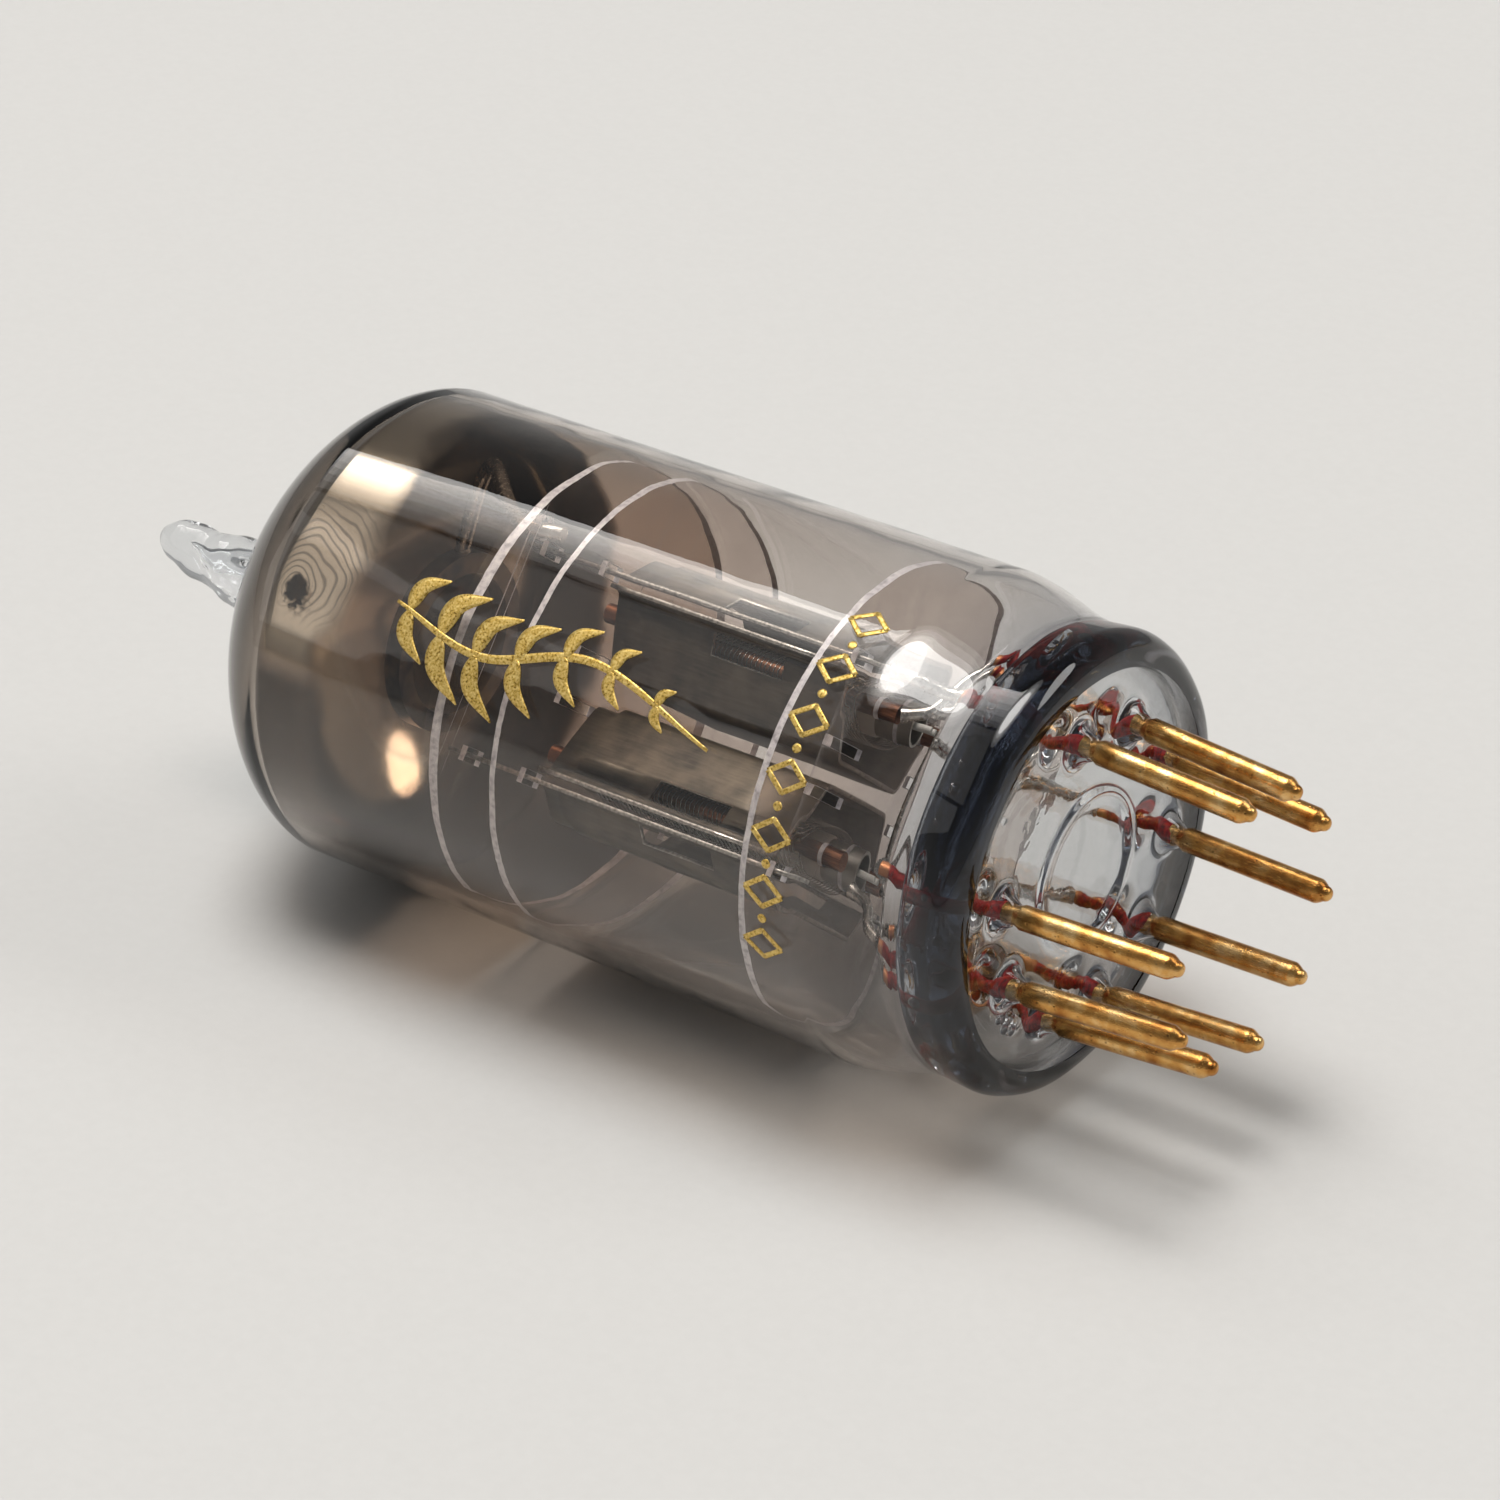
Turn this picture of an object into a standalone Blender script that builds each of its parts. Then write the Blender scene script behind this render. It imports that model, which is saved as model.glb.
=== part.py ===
"""Nine-pin miniature twin-triode vacuum tube, lying on its side.

Metres, +Z up.  The tube axis is the X axis: the pins point to +X and the domed top to -X.
The origin is where the axis meets the flat seating face of the glass base.
The bulb's lowest line is at Z = -BULB_RADIUS, so that is the height of the table top.
"""
import math

import bmesh
import bpy
from mathutils import Vector

# ---- driving dimensions -------------------------------------------------------------
GAP = 0.0003                    # clearance left between neighbouring pieces
FINE_GAP = 0.00025              # clearance in the small holes of the mica spacers

# glass envelope
BULB_RADIUS = 0.0103
BULB_WALL = 0.00055
DOME_TOP_X = -0.0402            # outer top of the dome
DOME_HEIGHT = 0.0063            # from the straight wall to the dome's top
DOME_POWER = 1.6                # 2 would be an ellipse
SHOULDER_X = -0.0044            # where the straight wall ends at the base
NECK_X = -0.0023                # waist between the shoulder and the rolled rim
NECK_RADIUS = 0.0094
RIM_BULGE = 0.00010             # how far the rolled rim stands out past the waist
RIM_END_X = 0.0001
RIM_CORNER = 0.0011
STEM_RADIUS = 0.0079
STEM_INNER_X = -0.0026          # inside face of the button stem
TIP_LENGTH = 0.0079             # sealed-off exhaust tip beyond the dome
TIP_RADIUS = 0.00135
TIP_DROOP = 0.0005              # how far the tip's end hangs below the axis
ROUND_STEPS = 48

# nine pins on ten places
PIN_CIRCLE_RADIUS = 0.005945
PIN_PITCH = math.radians(36.0)
PIN_RADIUS = 0.000508
PIN_ROOT_X = 0.0009
PIN_END_X = 0.00787
PIN_LEAN = math.radians(4.0)    # the pins stand in towards the axis by this much
BOSS_HEIGHT = 0.0006
BOSS_ROOT_RADIUS = 0.0012
BOSS_TOP_RADIUS = 0.0008
SEAL_WIRE_RADIUS = 0.00027
SEAL_END_X = -0.0050
LEAD_RADIUS = 0.0003

# mica spacers
MICA_RADIUS = 0.0095
MICA_THICKNESS = 0.0003
GETTER_MICA_X = -0.0246
UPPER_MICA_X = -0.0216
LOWER_MICA_X = -0.0093

# electrode cage, two triodes side by side
SEAM_OFFSET = 0.0041            # each anode's seam plane from the tube axis
UNIT_OFFSET = 0.00305           # each triode's cathode from the tube axis
SHEET = 0.0002
FLANGE_EDGE = 0.0061            # half width across the seam flanges
FLANGE_ROOT = 0.0053
CREASE = 0.0047                 # half height at the shallow crease of the inner half
SIDE_FLAT = 0.0037              # half height of the flat side of an anode
OUTER_REACH = 0.0015            # flat side of the outer half, from the seam plane
INNER_REACH = 0.0036            # flat side of the inner half, from the seam plane
CREASE_REACH = 0.0017
ANODE_TOP_X = -0.0211
ANODE_END_X = -0.0099
WINDOW_CENTRE_X = -0.01455
WINDOW_LENGTH = 0.0035
OUTER_WINDOW = (0.00035, 0.0010)    # window edges, measured from the seam plane
INNER_WINDOW = (0.00055, 0.00145)
TAB_WIDTH = 0.0007
TAB_TOP_X = -0.0255
TAB_END_X = -0.0080
GRID_ROD_RADIUS = 0.0004
GRID_ROD_OFFSET = 0.0029
GRID_TOP_X = -0.0228
GRID_END_X = -0.0082
GRID_PITCH = 0.0009
GRID_WIRE_RADIUS = 0.00012
GRID_HALF_DEPTH = 0.0013
SLEEVE_RADIUS = 0.00095
SLEEVE_BORE = 0.00072
SLEEVE_TOP_X = -0.0226
SLEEVE_END_X = -0.0084
HEATER_RADIUS = 0.00013
HEATER_SPREAD = 0.0003
HEATER_TOP_X = -0.0219
HEATER_END_X = -0.0074

# getter
GETTER_X = -0.0315
GETTER_RING_RADIUS = 0.0035
GETTER_WIRE_RADIUS = 0.0004

# how the two inner frames are turned about the tube axis, from +Z
PIN_ROLL = math.radians(44.0)   # the empty tenth pin place points this way
CAGE_ROLL = math.radians(52.2)  # the front seams of the anodes point this way

TAU = 2.0 * math.pi


# ---- materials ----------------------------------------------------------------------
def principled(name, colour, roughness, metallic=0.0, transmission=0.0):
    """Return a new material with one Principled BSDF."""
    material = bpy.data.materials.new(name)
    material.use_nodes = True
    shader = material.node_tree.nodes["Principled BSDF"]
    shader.inputs["Base Color"].default_value = (*colour, 1.0)
    shader.inputs["Roughness"].default_value = roughness
    shader.inputs["Metallic"].default_value = metallic
    shader.inputs["Transmission Weight"].default_value = transmission
    material.diffuse_color = (*colour, 1.0)
    return material


# ---- shared modelling functions -----------------------------------------------------
def finish(name, bm, material, parent=None, flat=False):
    """Turn a bmesh into a named object, shaded smooth unless it is flat sheet."""
    bmesh.ops.recalc_face_normals(bm, faces=bm.faces)
    mesh = bpy.data.meshes.new(name)
    bm.to_mesh(mesh)
    bm.free()
    mesh.materials.append(material)
    if not flat:
        mesh.shade_smooth()
        mesh.set_sharp_from_angle(angle=math.radians(40.0))
    piece = bpy.data.objects.new(name, mesh)
    bpy.context.scene.collection.objects.link(piece)
    piece.parent = parent
    return piece


def turned_bmesh(profile, steps=ROUND_STEPS):
    """Spin a profile of (x, radius) points about the X axis; ends on the axis are closed."""
    bm = bmesh.new()
    points = [bm.verts.new((x, 0.0, radius)) for x, radius in profile]
    edges = [bm.edges.new(pair) for pair in zip(points[:-1], points[1:])]
    bmesh.ops.spin(bm, geom=points + edges, cent=(0, 0, 0), axis=(1, 0, 0), angle=TAU,
                   steps=steps, use_merge=True)
    bmesh.ops.remove_doubles(bm, verts=bm.verts, dist=1e-7)
    return bm


def cylinder_x(bm, start_x, end_x, radius, centre, sides):
    """Add a closed cylinder along X to a bmesh, centred on (y, z)."""
    ends = []
    for x in (start_x, end_x):
        ring = []
        for i in range(sides):
            turn = TAU * (i + 0.5) / sides
            ring.append(bm.verts.new((x, centre[0] + radius * math.cos(turn),
                                      centre[1] + radius * math.sin(turn))))
        bm.faces.new(ring)
        ends.append(ring)
    for i in range(sides):
        j = (i + 1) % sides
        bm.faces.new((ends[0][i], ends[0][j], ends[1][j], ends[1][i]))


def block_x(bm, start_x, end_x, y_range, z_range):
    """Add a closed rectangular block to a bmesh."""
    corners = [bm.verts.new((x, y, z)) for x in (start_x, end_x)
               for y in y_range for z in z_range]
    for face in ((0, 1, 3, 2), (4, 6, 7, 5), (0, 4, 5, 1), (2, 3, 7, 6), (0, 2, 6, 4), (1, 5, 7, 3)):
        bm.faces.new([corners[i] for i in face])


def cut(piece, bm, name):
    """Cut the closed shapes of a bmesh out of a piece with a Boolean modifier."""
    cutter = finish(name, bm, piece.data.materials[0], piece.parent)
    cutter.hide_render = True
    cutter.display_type = 'WIRE'
    modifier = piece.modifiers.new("cut", 'BOOLEAN')
    modifier.operation = 'DIFFERENCE'
    modifier.object = cutter


def wire(name, points, radius, material, parent, resolution=1, closed=False):
    """A round wire along a list of points."""
    curve = bpy.data.curves.new(name, 'CURVE')
    curve.dimensions = '3D'
    curve.bevel_depth = radius
    curve.bevel_resolution = resolution
    curve.use_fill_caps = not closed
    spline = curve.splines.new('POLY')
    spline.points.add(len(points) - 1)
    for place, point in zip(spline.points, points):
        place.co = (*point, 1.0)
    spline.use_cyclic_u = closed
    curve.materials.append(material)
    piece = bpy.data.objects.new(name, curve)
    bpy.context.scene.collection.objects.link(piece)
    piece.parent = parent
    return piece


def arc(centre, radius, start, end, count):
    """Points of an arc in the (x, radius) plane, angles in degrees from +x."""
    points = []
    for i in range(count + 1):
        turn = math.radians(start + (end - start) * i / count)
        points.append((centre[0] + radius * math.cos(turn), centre[1] + radius * math.sin(turn)))
    return points


# ---- glass --------------------------------------------------------------------------
def dome(top_x, radius, height, count):
    """Dome outline from the axis out to the straight wall."""
    points = []
    for i in range(count + 1):
        turn = 0.5 * math.pi * i / count
        x = top_x + height - height * math.cos(turn) ** (2.0 / DOME_POWER)
        points.append((x, radius * math.sin(turn) ** (2.0 / DOME_POWER)))
    return points


def make_bulb(glass):
    """Blown envelope: dome, straight wall, shoulder, waist and rolled rim, open at the base."""
    rim_radius = NECK_RADIUS + RIM_BULGE
    mouth = STEM_RADIUS + GAP
    shoulder_drop = BULB_RADIUS - NECK_RADIUS
    shoulder = []
    for i in range(1, 8):
        t = i / 8.0
        x = SHOULDER_X + (NECK_X - SHOULDER_X) * t
        shoulder.append((x, BULB_RADIUS - shoulder_drop * 0.5 * (1.0 - math.cos(math.pi * t))))
    corner = arc((RIM_END_X - RIM_CORNER, rim_radius - RIM_CORNER), RIM_CORNER, 90.0, 0.0, 5)
    outer = dome(DOME_TOP_X, BULB_RADIUS, DOME_HEIGHT, 12)
    outer += [(SHOULDER_X, BULB_RADIUS)] + shoulder + [(NECK_X, NECK_RADIUS)] + corner
    inner = dome(DOME_TOP_X + BULB_WALL, BULB_RADIUS - BULB_WALL, DOME_HEIGHT - 0.3 * BULB_WALL, 10)
    inner += [(SHOULDER_X, BULB_RADIUS - BULB_WALL), (NECK_X - 0.0006, mouth + 0.0004)]
    inner += [(STEM_INNER_X - GAP, mouth), (RIM_END_X, mouth)]
    return finish("bulb", turned_bmesh(outer + inner[::-1]), glass)


def make_exhaust_tip(glass):
    """Solid pip left where the exhaust tube was melted off, on the dome's centre."""
    start = DOME_TOP_X - GAP
    end = DOME_TOP_X - TIP_LENGTH
    outline = [(start, 0.0), (start, 1.35 * TIP_RADIUS), (start - 0.0007, 0.86 * TIP_RADIUS),
               (start - 0.0022, TIP_RADIUS), (start - 0.0040, 0.8 * TIP_RADIUS),
               (start - 0.0055, 0.9 * TIP_RADIUS), (end + 0.0008, 0.55 * TIP_RADIUS),
               (end + 0.0002, 0.25 * TIP_RADIUS), (end, 0.0)]
    bm = turned_bmesh(outline, 20)
    for vert in bm.verts:
        vert.co.z -= TIP_DROOP * ((vert.co.x - start) / (end - start)) ** 2
    return finish("exhaust_tip", bm, glass)


def pin_place(number):
    """(y, z) of a pin's centre at the seating face, in the pin frame."""
    turn = PIN_PITCH * number
    return (PIN_CIRCLE_RADIUS * math.sin(turn), PIN_CIRCLE_RADIUS * math.cos(turn))


def make_button_stem(glass, pin_frame):
    """Pressed glass disc that closes the bulb, with a boss and a hole for each pin."""
    edge = 0.0003
    outline = [(STEM_INNER_X, 0.0), (STEM_INNER_X, STEM_RADIUS - edge),
               (STEM_INNER_X + edge, STEM_RADIUS), (-edge, STEM_RADIUS), (0.0, STEM_RADIUS - edge), (0.0, 0.0)]
    stem = finish("button_stem", turned_bmesh(outline), glass, pin_frame)
    bosses = bmesh.new()
    holes = bmesh.new()
    for number in range(1, 10):
        centre = pin_place(number)
        add_boss(bosses, centre)
        cylinder_x(holes, STEM_INNER_X - GAP, BOSS_HEIGHT + GAP, SEAL_WIRE_RADIUS + FINE_GAP, centre, 10)
    union = stem.modifiers.new("bosses", 'BOOLEAN')
    union.operation = 'UNION'
    union.object = finish("boss_shapes", bosses, glass, pin_frame)
    union.object.hide_render = True
    union.object.display_type = 'WIRE'
    cut(stem, holes, "seal_hole_cutters")
    return stem


def add_boss(bm, centre, sides=12):
    """One tapered boss, sunk a little into the disc."""
    rings = []
    for x, radius in ((-0.0005, BOSS_ROOT_RADIUS), (0.0, BOSS_ROOT_RADIUS), (BOSS_HEIGHT, BOSS_TOP_RADIUS)):
        ring = []
        for i in range(sides):
            turn = TAU * i / sides
            ring.append(bm.verts.new((x, centre[0] + radius * math.cos(turn),
                                      centre[1] + radius * math.sin(turn))))
        rings.append(ring)
    bm.faces.new(rings[0])
    bm.faces.new(rings[-1])
    for low, high in zip(rings[:-1], rings[1:]):
        for i in range(sides):
            j = (i + 1) % sides
            bm.faces.new((low[i], low[j], high[j], high[i]))


# ---- pins, seal wires and leads -----------------------------------------------------
def make_pins(gold, pin_frame):
    """Nine gold-plated contact pins with bullet ends."""
    length = PIN_END_X - PIN_ROOT_X
    nose = 0.0008
    outline = [(0.0, 0.0), (0.0, PIN_RADIUS), (length - nose, PIN_RADIUS),
               (length - 0.45 * nose, 0.82 * PIN_RADIUS), (length - 0.1 * nose, 0.5 * PIN_RADIUS), (length, 0.0)]
    for number in range(1, 10):
        pin = finish("pin_%d" % number, turned_bmesh(outline, 14), gold, pin_frame)
        y, z = pin_place(number)
        pin.location = (PIN_ROOT_X, y, z)
        inward = Vector((0.0, -y, -z)).normalized()
        direction = Vector((math.cos(PIN_LEAN), 0.0, 0.0)) + inward * math.sin(PIN_LEAN)
        pin.rotation_mode = 'QUATERNION'
        pin.rotation_quaternion = Vector((1.0, 0.0, 0.0)).rotation_difference(direction)


def make_seal_wires(dumet, pin_frame):
    """Thin copper-clad wires sealed in the glass behind each pin."""
    for number in range(1, 10):
        bm = bmesh.new()
        cylinder_x(bm, SEAL_END_X, PIN_ROOT_X - GAP, SEAL_WIRE_RADIUS, pin_place(number), 8)
        finish("seal_wire_%d" % number, bm, dumet, pin_frame)


def cage_to_pin_frame(point):
    """Turn a point given in the cage frame into the pin frame."""
    turn = CAGE_ROLL - PIN_ROLL
    x, y, z = point
    return (x, y * math.cos(turn) - z * math.sin(turn), y * math.sin(turn) + z * math.cos(turn))


def make_leads(nickel, pin_frame):
    """Inner leads, each from its seal wire to the electrode it serves."""
    flange = 0.5 * (FLANGE_EDGE + FLANGE_ROOT)
    side = UNIT_OFFSET
    seam = SEAM_OFFSET
    beside = SLEEVE_RADIUS + LEAD_RADIUS + GAP
    ends = {
        1: (TAB_END_X + GAP, seam, flange),
        2: (GRID_END_X + GAP, side, GRID_ROD_OFFSET),
        3: (SLEEVE_END_X + GAP, side + 0.5 * beside, -beside),
        4: (HEATER_END_X + GAP, side - 0.0004, -HEATER_SPREAD - 0.0002),
        5: (HEATER_END_X + GAP, -side + 0.0004, -HEATER_SPREAD - 0.0002),
        6: (TAB_END_X + GAP, -seam, -flange),
        7: (GRID_END_X + GAP, -side, -GRID_ROD_OFFSET),
        8: (SLEEVE_END_X + GAP, -side - 0.5 * beside, beside),
        9: (HEATER_END_X + 0.0011, -side + 0.0004, HEATER_SPREAD + 0.0002),
    }
    for number, end in ends.items():
        y, z = pin_place(number)
        start = (SEAL_END_X - GAP, y, z)
        end = cage_to_pin_frame(end)
        middle = tuple(0.5 * (a + b) for a, b in zip(start, end))
        bend = (middle[0] + 0.0006, 0.8 * y + 0.2 * end[1], 0.8 * z + 0.2 * end[2])
        wire("lead_%d" % number, (start, bend, end), LEAD_RADIUS, nickel, pin_frame)


# ---- mica spacers -------------------------------------------------------------------
def tab_slots(bm, x_range):
    """Slots for the anode tabs of both triodes."""
    half = 0.5 * TAB_WIDTH + FINE_GAP
    flange = 0.5 * (FLANGE_EDGE + FLANGE_ROOT)
    for unit in (-1.0, 1.0):
        y = unit * (SEAM_OFFSET + 0.5 * GAP + 0.5 * SHEET)
        for end in (-1.0, 1.0):
            z = end * flange
            reach = 0.5 * SHEET + FINE_GAP
            block_x(bm, *x_range, (y - reach, y + reach), (z - half, z + half))


def electrode_holes(bm, x_range):
    """Holes for the grid rods and the cathode sleeves of both triodes."""
    for unit in (-1.0, 1.0):
        y = unit * UNIT_OFFSET
        cylinder_x(bm, *x_range, SLEEVE_RADIUS + FINE_GAP, (y, 0.0), 14)
        for end in (-1.0, 1.0):
            cylinder_x(bm, *x_range, GRID_ROD_RADIUS + FINE_GAP, (y, end * GRID_ROD_OFFSET), 10)


def make_mica(name, x, mica, cage, with_electrodes):
    """One punched mica disc."""
    low = x - 0.5 * MICA_THICKNESS
    high = x + 0.5 * MICA_THICKNESS
    disc = bmesh.new()
    cylinder_x(disc, low, high, MICA_RADIUS, (0.0, 0.0), ROUND_STEPS)
    piece = finish(name, disc, mica, cage)
    reach = (low - GAP, high + GAP)
    holes = bmesh.new()
    tab_slots(holes, reach)
    if with_electrodes:
        electrode_holes(holes, reach)
    else:
        cylinder_x(holes, *reach, GETTER_WIRE_RADIUS + FINE_GAP, getter_foot(), 10)
    cut(piece, holes, name + "_cutters")
    return piece


# ---- electrodes ---------------------------------------------------------------------
def make_anode_half(name, unit, side, carbon, cage):
    """Stamped half shell: two seam flanges, two sloping fronts and a flat side."""
    outer = unit == side
    seam = side * (0.5 * GAP + 0.5 * SHEET)
    reach = side * (OUTER_REACH if outer else INNER_REACH)
    front = [(seam, FLANGE_EDGE), (seam, FLANGE_ROOT)]
    if not outer:
        front.append((side * CREASE_REACH, CREASE))
    front.append((reach, SIDE_FLAT))
    section = front + [(y, -z) for y, z in reversed(front)]
    bm = bmesh.new()
    centre = unit * SEAM_OFFSET
    row = [bm.verts.new((ANODE_TOP_X, centre + y, z)) for y, z in section]
    far = [bm.verts.new((ANODE_END_X, centre + y, z)) for y, z in section]
    for i in range(len(section) - 1):
        bm.faces.new((row[i], row[i + 1], far[i + 1], far[i]))
    if outer:
        add_tabs(bm, centre + seam)
    piece = finish(name, bm, carbon, cage, flat=True)
    solid = piece.modifiers.new("sheet", 'SOLIDIFY')
    solid.thickness = SHEET
    solid.offset = 0.0
    solid.use_even_offset = True
    windows = bmesh.new()
    near, far_edge = OUTER_WINDOW if outer else INNER_WINDOW
    y_range = sorted((centre + side * near, centre + side * far_edge))
    x_low = WINDOW_CENTRE_X - 0.5 * WINDOW_LENGTH
    for end in (-1.0, 1.0):
        z_range = sorted((end * (SIDE_FLAT + 0.0001), end * (FLANGE_ROOT + 0.0005)))
        block_x(windows, x_low, x_low + WINDOW_LENGTH, y_range, z_range)
    cut(piece, windows, name + "_window_cutters")
    return piece


def add_tabs(bm, y):
    """Extend the flanges with narrow tabs that pass through the mica spacers."""
    flange = 0.5 * (FLANGE_EDGE + FLANGE_ROOT)
    for end in (-1.0, 1.0):
        for near_x, far_x in ((ANODE_TOP_X, TAB_TOP_X), (ANODE_END_X, TAB_END_X)):
            low = end * (flange - 0.5 * TAB_WIDTH)
            high = end * (flange + 0.5 * TAB_WIDTH)
            root = [v for v in bm.verts if abs(v.co.x - near_x) < 1e-9 and abs(v.co.y - y) < 1e-9
                    and v.co.z * end > 0.0]
            root.sort(key=lambda v: abs(v.co.z))
            edge = bm.edges.get((root[0], root[-1]))
            split = bmesh.ops.subdivide_edges(bm, edges=[edge], cuts=2)
            fresh = [v for v in split["geom_inner"] if isinstance(v, bmesh.types.BMVert)]
            fresh.sort(key=lambda v: abs(v.co.z))
            fresh[0].co.z = low
            fresh[1].co.z = high
            a = bm.verts.new((far_x, y, low))
            b = bm.verts.new((far_x, y, high))
            bm.faces.new((fresh[0], fresh[1], b, a))


def make_grid(number, unit, nickel, winding_metal, cage):
    """Two side rods and the oval winding round them."""
    centre = unit * UNIT_OFFSET
    for side_name, end in (("front", 1.0), ("back", -1.0)):
        bm = bmesh.new()
        cylinder_x(bm, GRID_TOP_X, GRID_END_X, GRID_ROD_RADIUS, (centre, end * GRID_ROD_OFFSET), 10)
        finish("grid_%d_%s_rod" % (number, side_name), bm, nickel, cage)
    start = UPPER_MICA_X + 0.0010
    length = (LOWER_MICA_X - 0.0010) - start
    turns = length / GRID_PITCH
    steps = 16
    half_width = GRID_ROD_OFFSET + GRID_ROD_RADIUS + GRID_WIRE_RADIUS + FINE_GAP
    points = []
    for i in range(int(turns * steps) + 1):
        turn = TAU * i / steps
        points.append((start + GRID_PITCH * i / steps, centre + GRID_HALF_DEPTH * math.cos(turn),
                       half_width * math.sin(turn)))
    wire("grid_%d_winding" % number, points, GRID_WIRE_RADIUS, winding_metal, cage, resolution=0)


def make_cathode(number, unit, oxide, cage):
    """Nickel sleeve with its white oxide coat."""
    outline = [(SLEEVE_TOP_X, SLEEVE_BORE), (SLEEVE_TOP_X, SLEEVE_RADIUS),
               (SLEEVE_END_X, SLEEVE_RADIUS), (SLEEVE_END_X, SLEEVE_BORE), (SLEEVE_TOP_X, SLEEVE_BORE)]
    bm = turned_bmesh(outline, 14)
    bmesh.ops.translate(bm, verts=bm.verts, vec=(0.0, unit * UNIT_OFFSET, 0.0))
    return finish("cathode_%d" % number, bm, oxide, cage)


def make_heater(number, unit, alumina, cage):
    """Coated heater folded once inside the sleeve."""
    y = unit * UNIT_OFFSET
    bend_x = HEATER_TOP_X + HEATER_SPREAD
    points = [(HEATER_END_X, y, -HEATER_SPREAD)]
    for i in range(7):
        turn = math.pi * i / 6.0
        points.append((bend_x - HEATER_SPREAD * math.sin(turn), y, -HEATER_SPREAD * math.cos(turn)))
    points.append((HEATER_END_X, y, HEATER_SPREAD))
    wire("heater_%d" % number, points, HEATER_RADIUS, alumina, cage, resolution=0)


def make_heater_link(nickel, cage):
    """Wire that joins the two heaters at the centre tap."""
    x = HEATER_END_X + GAP + 0.0002
    reach = UNIT_OFFSET
    z = HEATER_SPREAD
    points = [(x, reach, z), (x, 0.3 * reach, z + 0.0004), (x, -0.3 * reach, z + 0.0004), (x, -reach, z)]
    wire("heater_link", points, 0.0002, nickel, cage)


def getter_foot():
    """(y, z) where the getter support stands on its mica, in the cage frame."""
    return (0.0050, 0.0069)


def make_getter(nickel, cage):
    """Getter ring above the top mica, on a bent support wire."""
    ring = []
    for i in range(24):
        turn = TAU * i / 24
        ring.append((GETTER_X, GETTER_RING_RADIUS * math.cos(turn), GETTER_RING_RADIUS * math.sin(turn)))
    wire("getter_ring", ring, 0.00045, nickel, cage, closed=True)
    y, z = getter_foot()
    elbow = (0.0071, 0.0034)
    reach = (GETTER_RING_RADIUS + 0.00045 + GETTER_WIRE_RADIUS + GAP) / math.hypot(*elbow)
    points = [(GETTER_MICA_X + 0.0010, y, z), (GETTER_MICA_X - 0.0015, y, z),
              (GETTER_X + 0.0008, *elbow), (GETTER_X, reach * elbow[0], reach * elbow[1])]
    wire("getter_support", points, GETTER_WIRE_RADIUS, nickel, cage)


# ---- assembly -----------------------------------------------------------------------
def frame_empty(name, roll):
    """An empty on the tube axis, turned about it."""
    empty = bpy.data.objects.new(name, None)
    bpy.context.scene.collection.objects.link(empty)
    empty.rotation_euler = (roll, 0.0, 0.0)
    return empty


for old in list(bpy.data.objects):
    bpy.data.objects.remove(old)

glass = principled("smoked_glass", (0.30, 0.27, 0.26), 0.03, transmission=1.0)
stem_glass = principled("stem_glass", (0.45, 0.48, 0.52), 0.05, transmission=1.0)
gold = principled("gold_plate", (0.83, 0.55, 0.18), 0.22, metallic=1.0)
dumet = principled("red_copper_seal_wire", (0.42, 0.06, 0.04), 0.4, metallic=0.6)
nickel = principled("nickel_wire", (0.62, 0.60, 0.57), 0.3, metallic=1.0)
mica = principled("mica", (0.62, 0.60, 0.60), 0.25, transmission=0.7)
carbon = principled("carbonised_nickel", (0.06, 0.06, 0.062), 0.5, metallic=0.4)
moly = principled("molybdenum_wire", (0.55, 0.54, 0.52), 0.3, metallic=1.0)
oxide = principled("white_oxide", (0.80, 0.79, 0.75), 0.8)
alumina = principled("alumina", (0.86, 0.86, 0.84), 0.8)

pin_frame = frame_empty("pin_frame", PIN_ROLL)
cage = frame_empty("cage_frame", CAGE_ROLL)

make_bulb(glass)
make_exhaust_tip(glass)
make_button_stem(stem_glass, pin_frame)
make_pins(gold, pin_frame)
make_seal_wires(dumet, pin_frame)
make_leads(nickel, pin_frame)
make_mica("getter_mica", GETTER_MICA_X, mica, cage, False)
make_mica("upper_mica", UPPER_MICA_X, mica, cage, True)
make_mica("lower_mica", LOWER_MICA_X, mica, cage, True)
for number, unit in ((1, -1.0), (2, 1.0)):
    make_anode_half("anode_%d_outer_half" % number, unit, unit, carbon, cage)
    make_anode_half("anode_%d_inner_half" % number, unit, -unit, carbon, cage)
    make_grid(number, unit, nickel, moly, cage)
    make_cathode(number, unit, oxide, cage)
    make_heater(number, unit, alumina, cage)
make_heater_link(nickel, cage)
make_getter(nickel, cage)
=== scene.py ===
"""Nine-pin miniature twin triode vacuum tube, lying on its side on a pale table.

Metres, +Z up.  The tube's axis is the X axis: pins towards +X, domed top towards -X.
The sections follow the order in which the tube is put together, from the heaters out.
"""
import math
import random

import bmesh
import bpy
from mathutils import Matrix, Vector, noise


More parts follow.
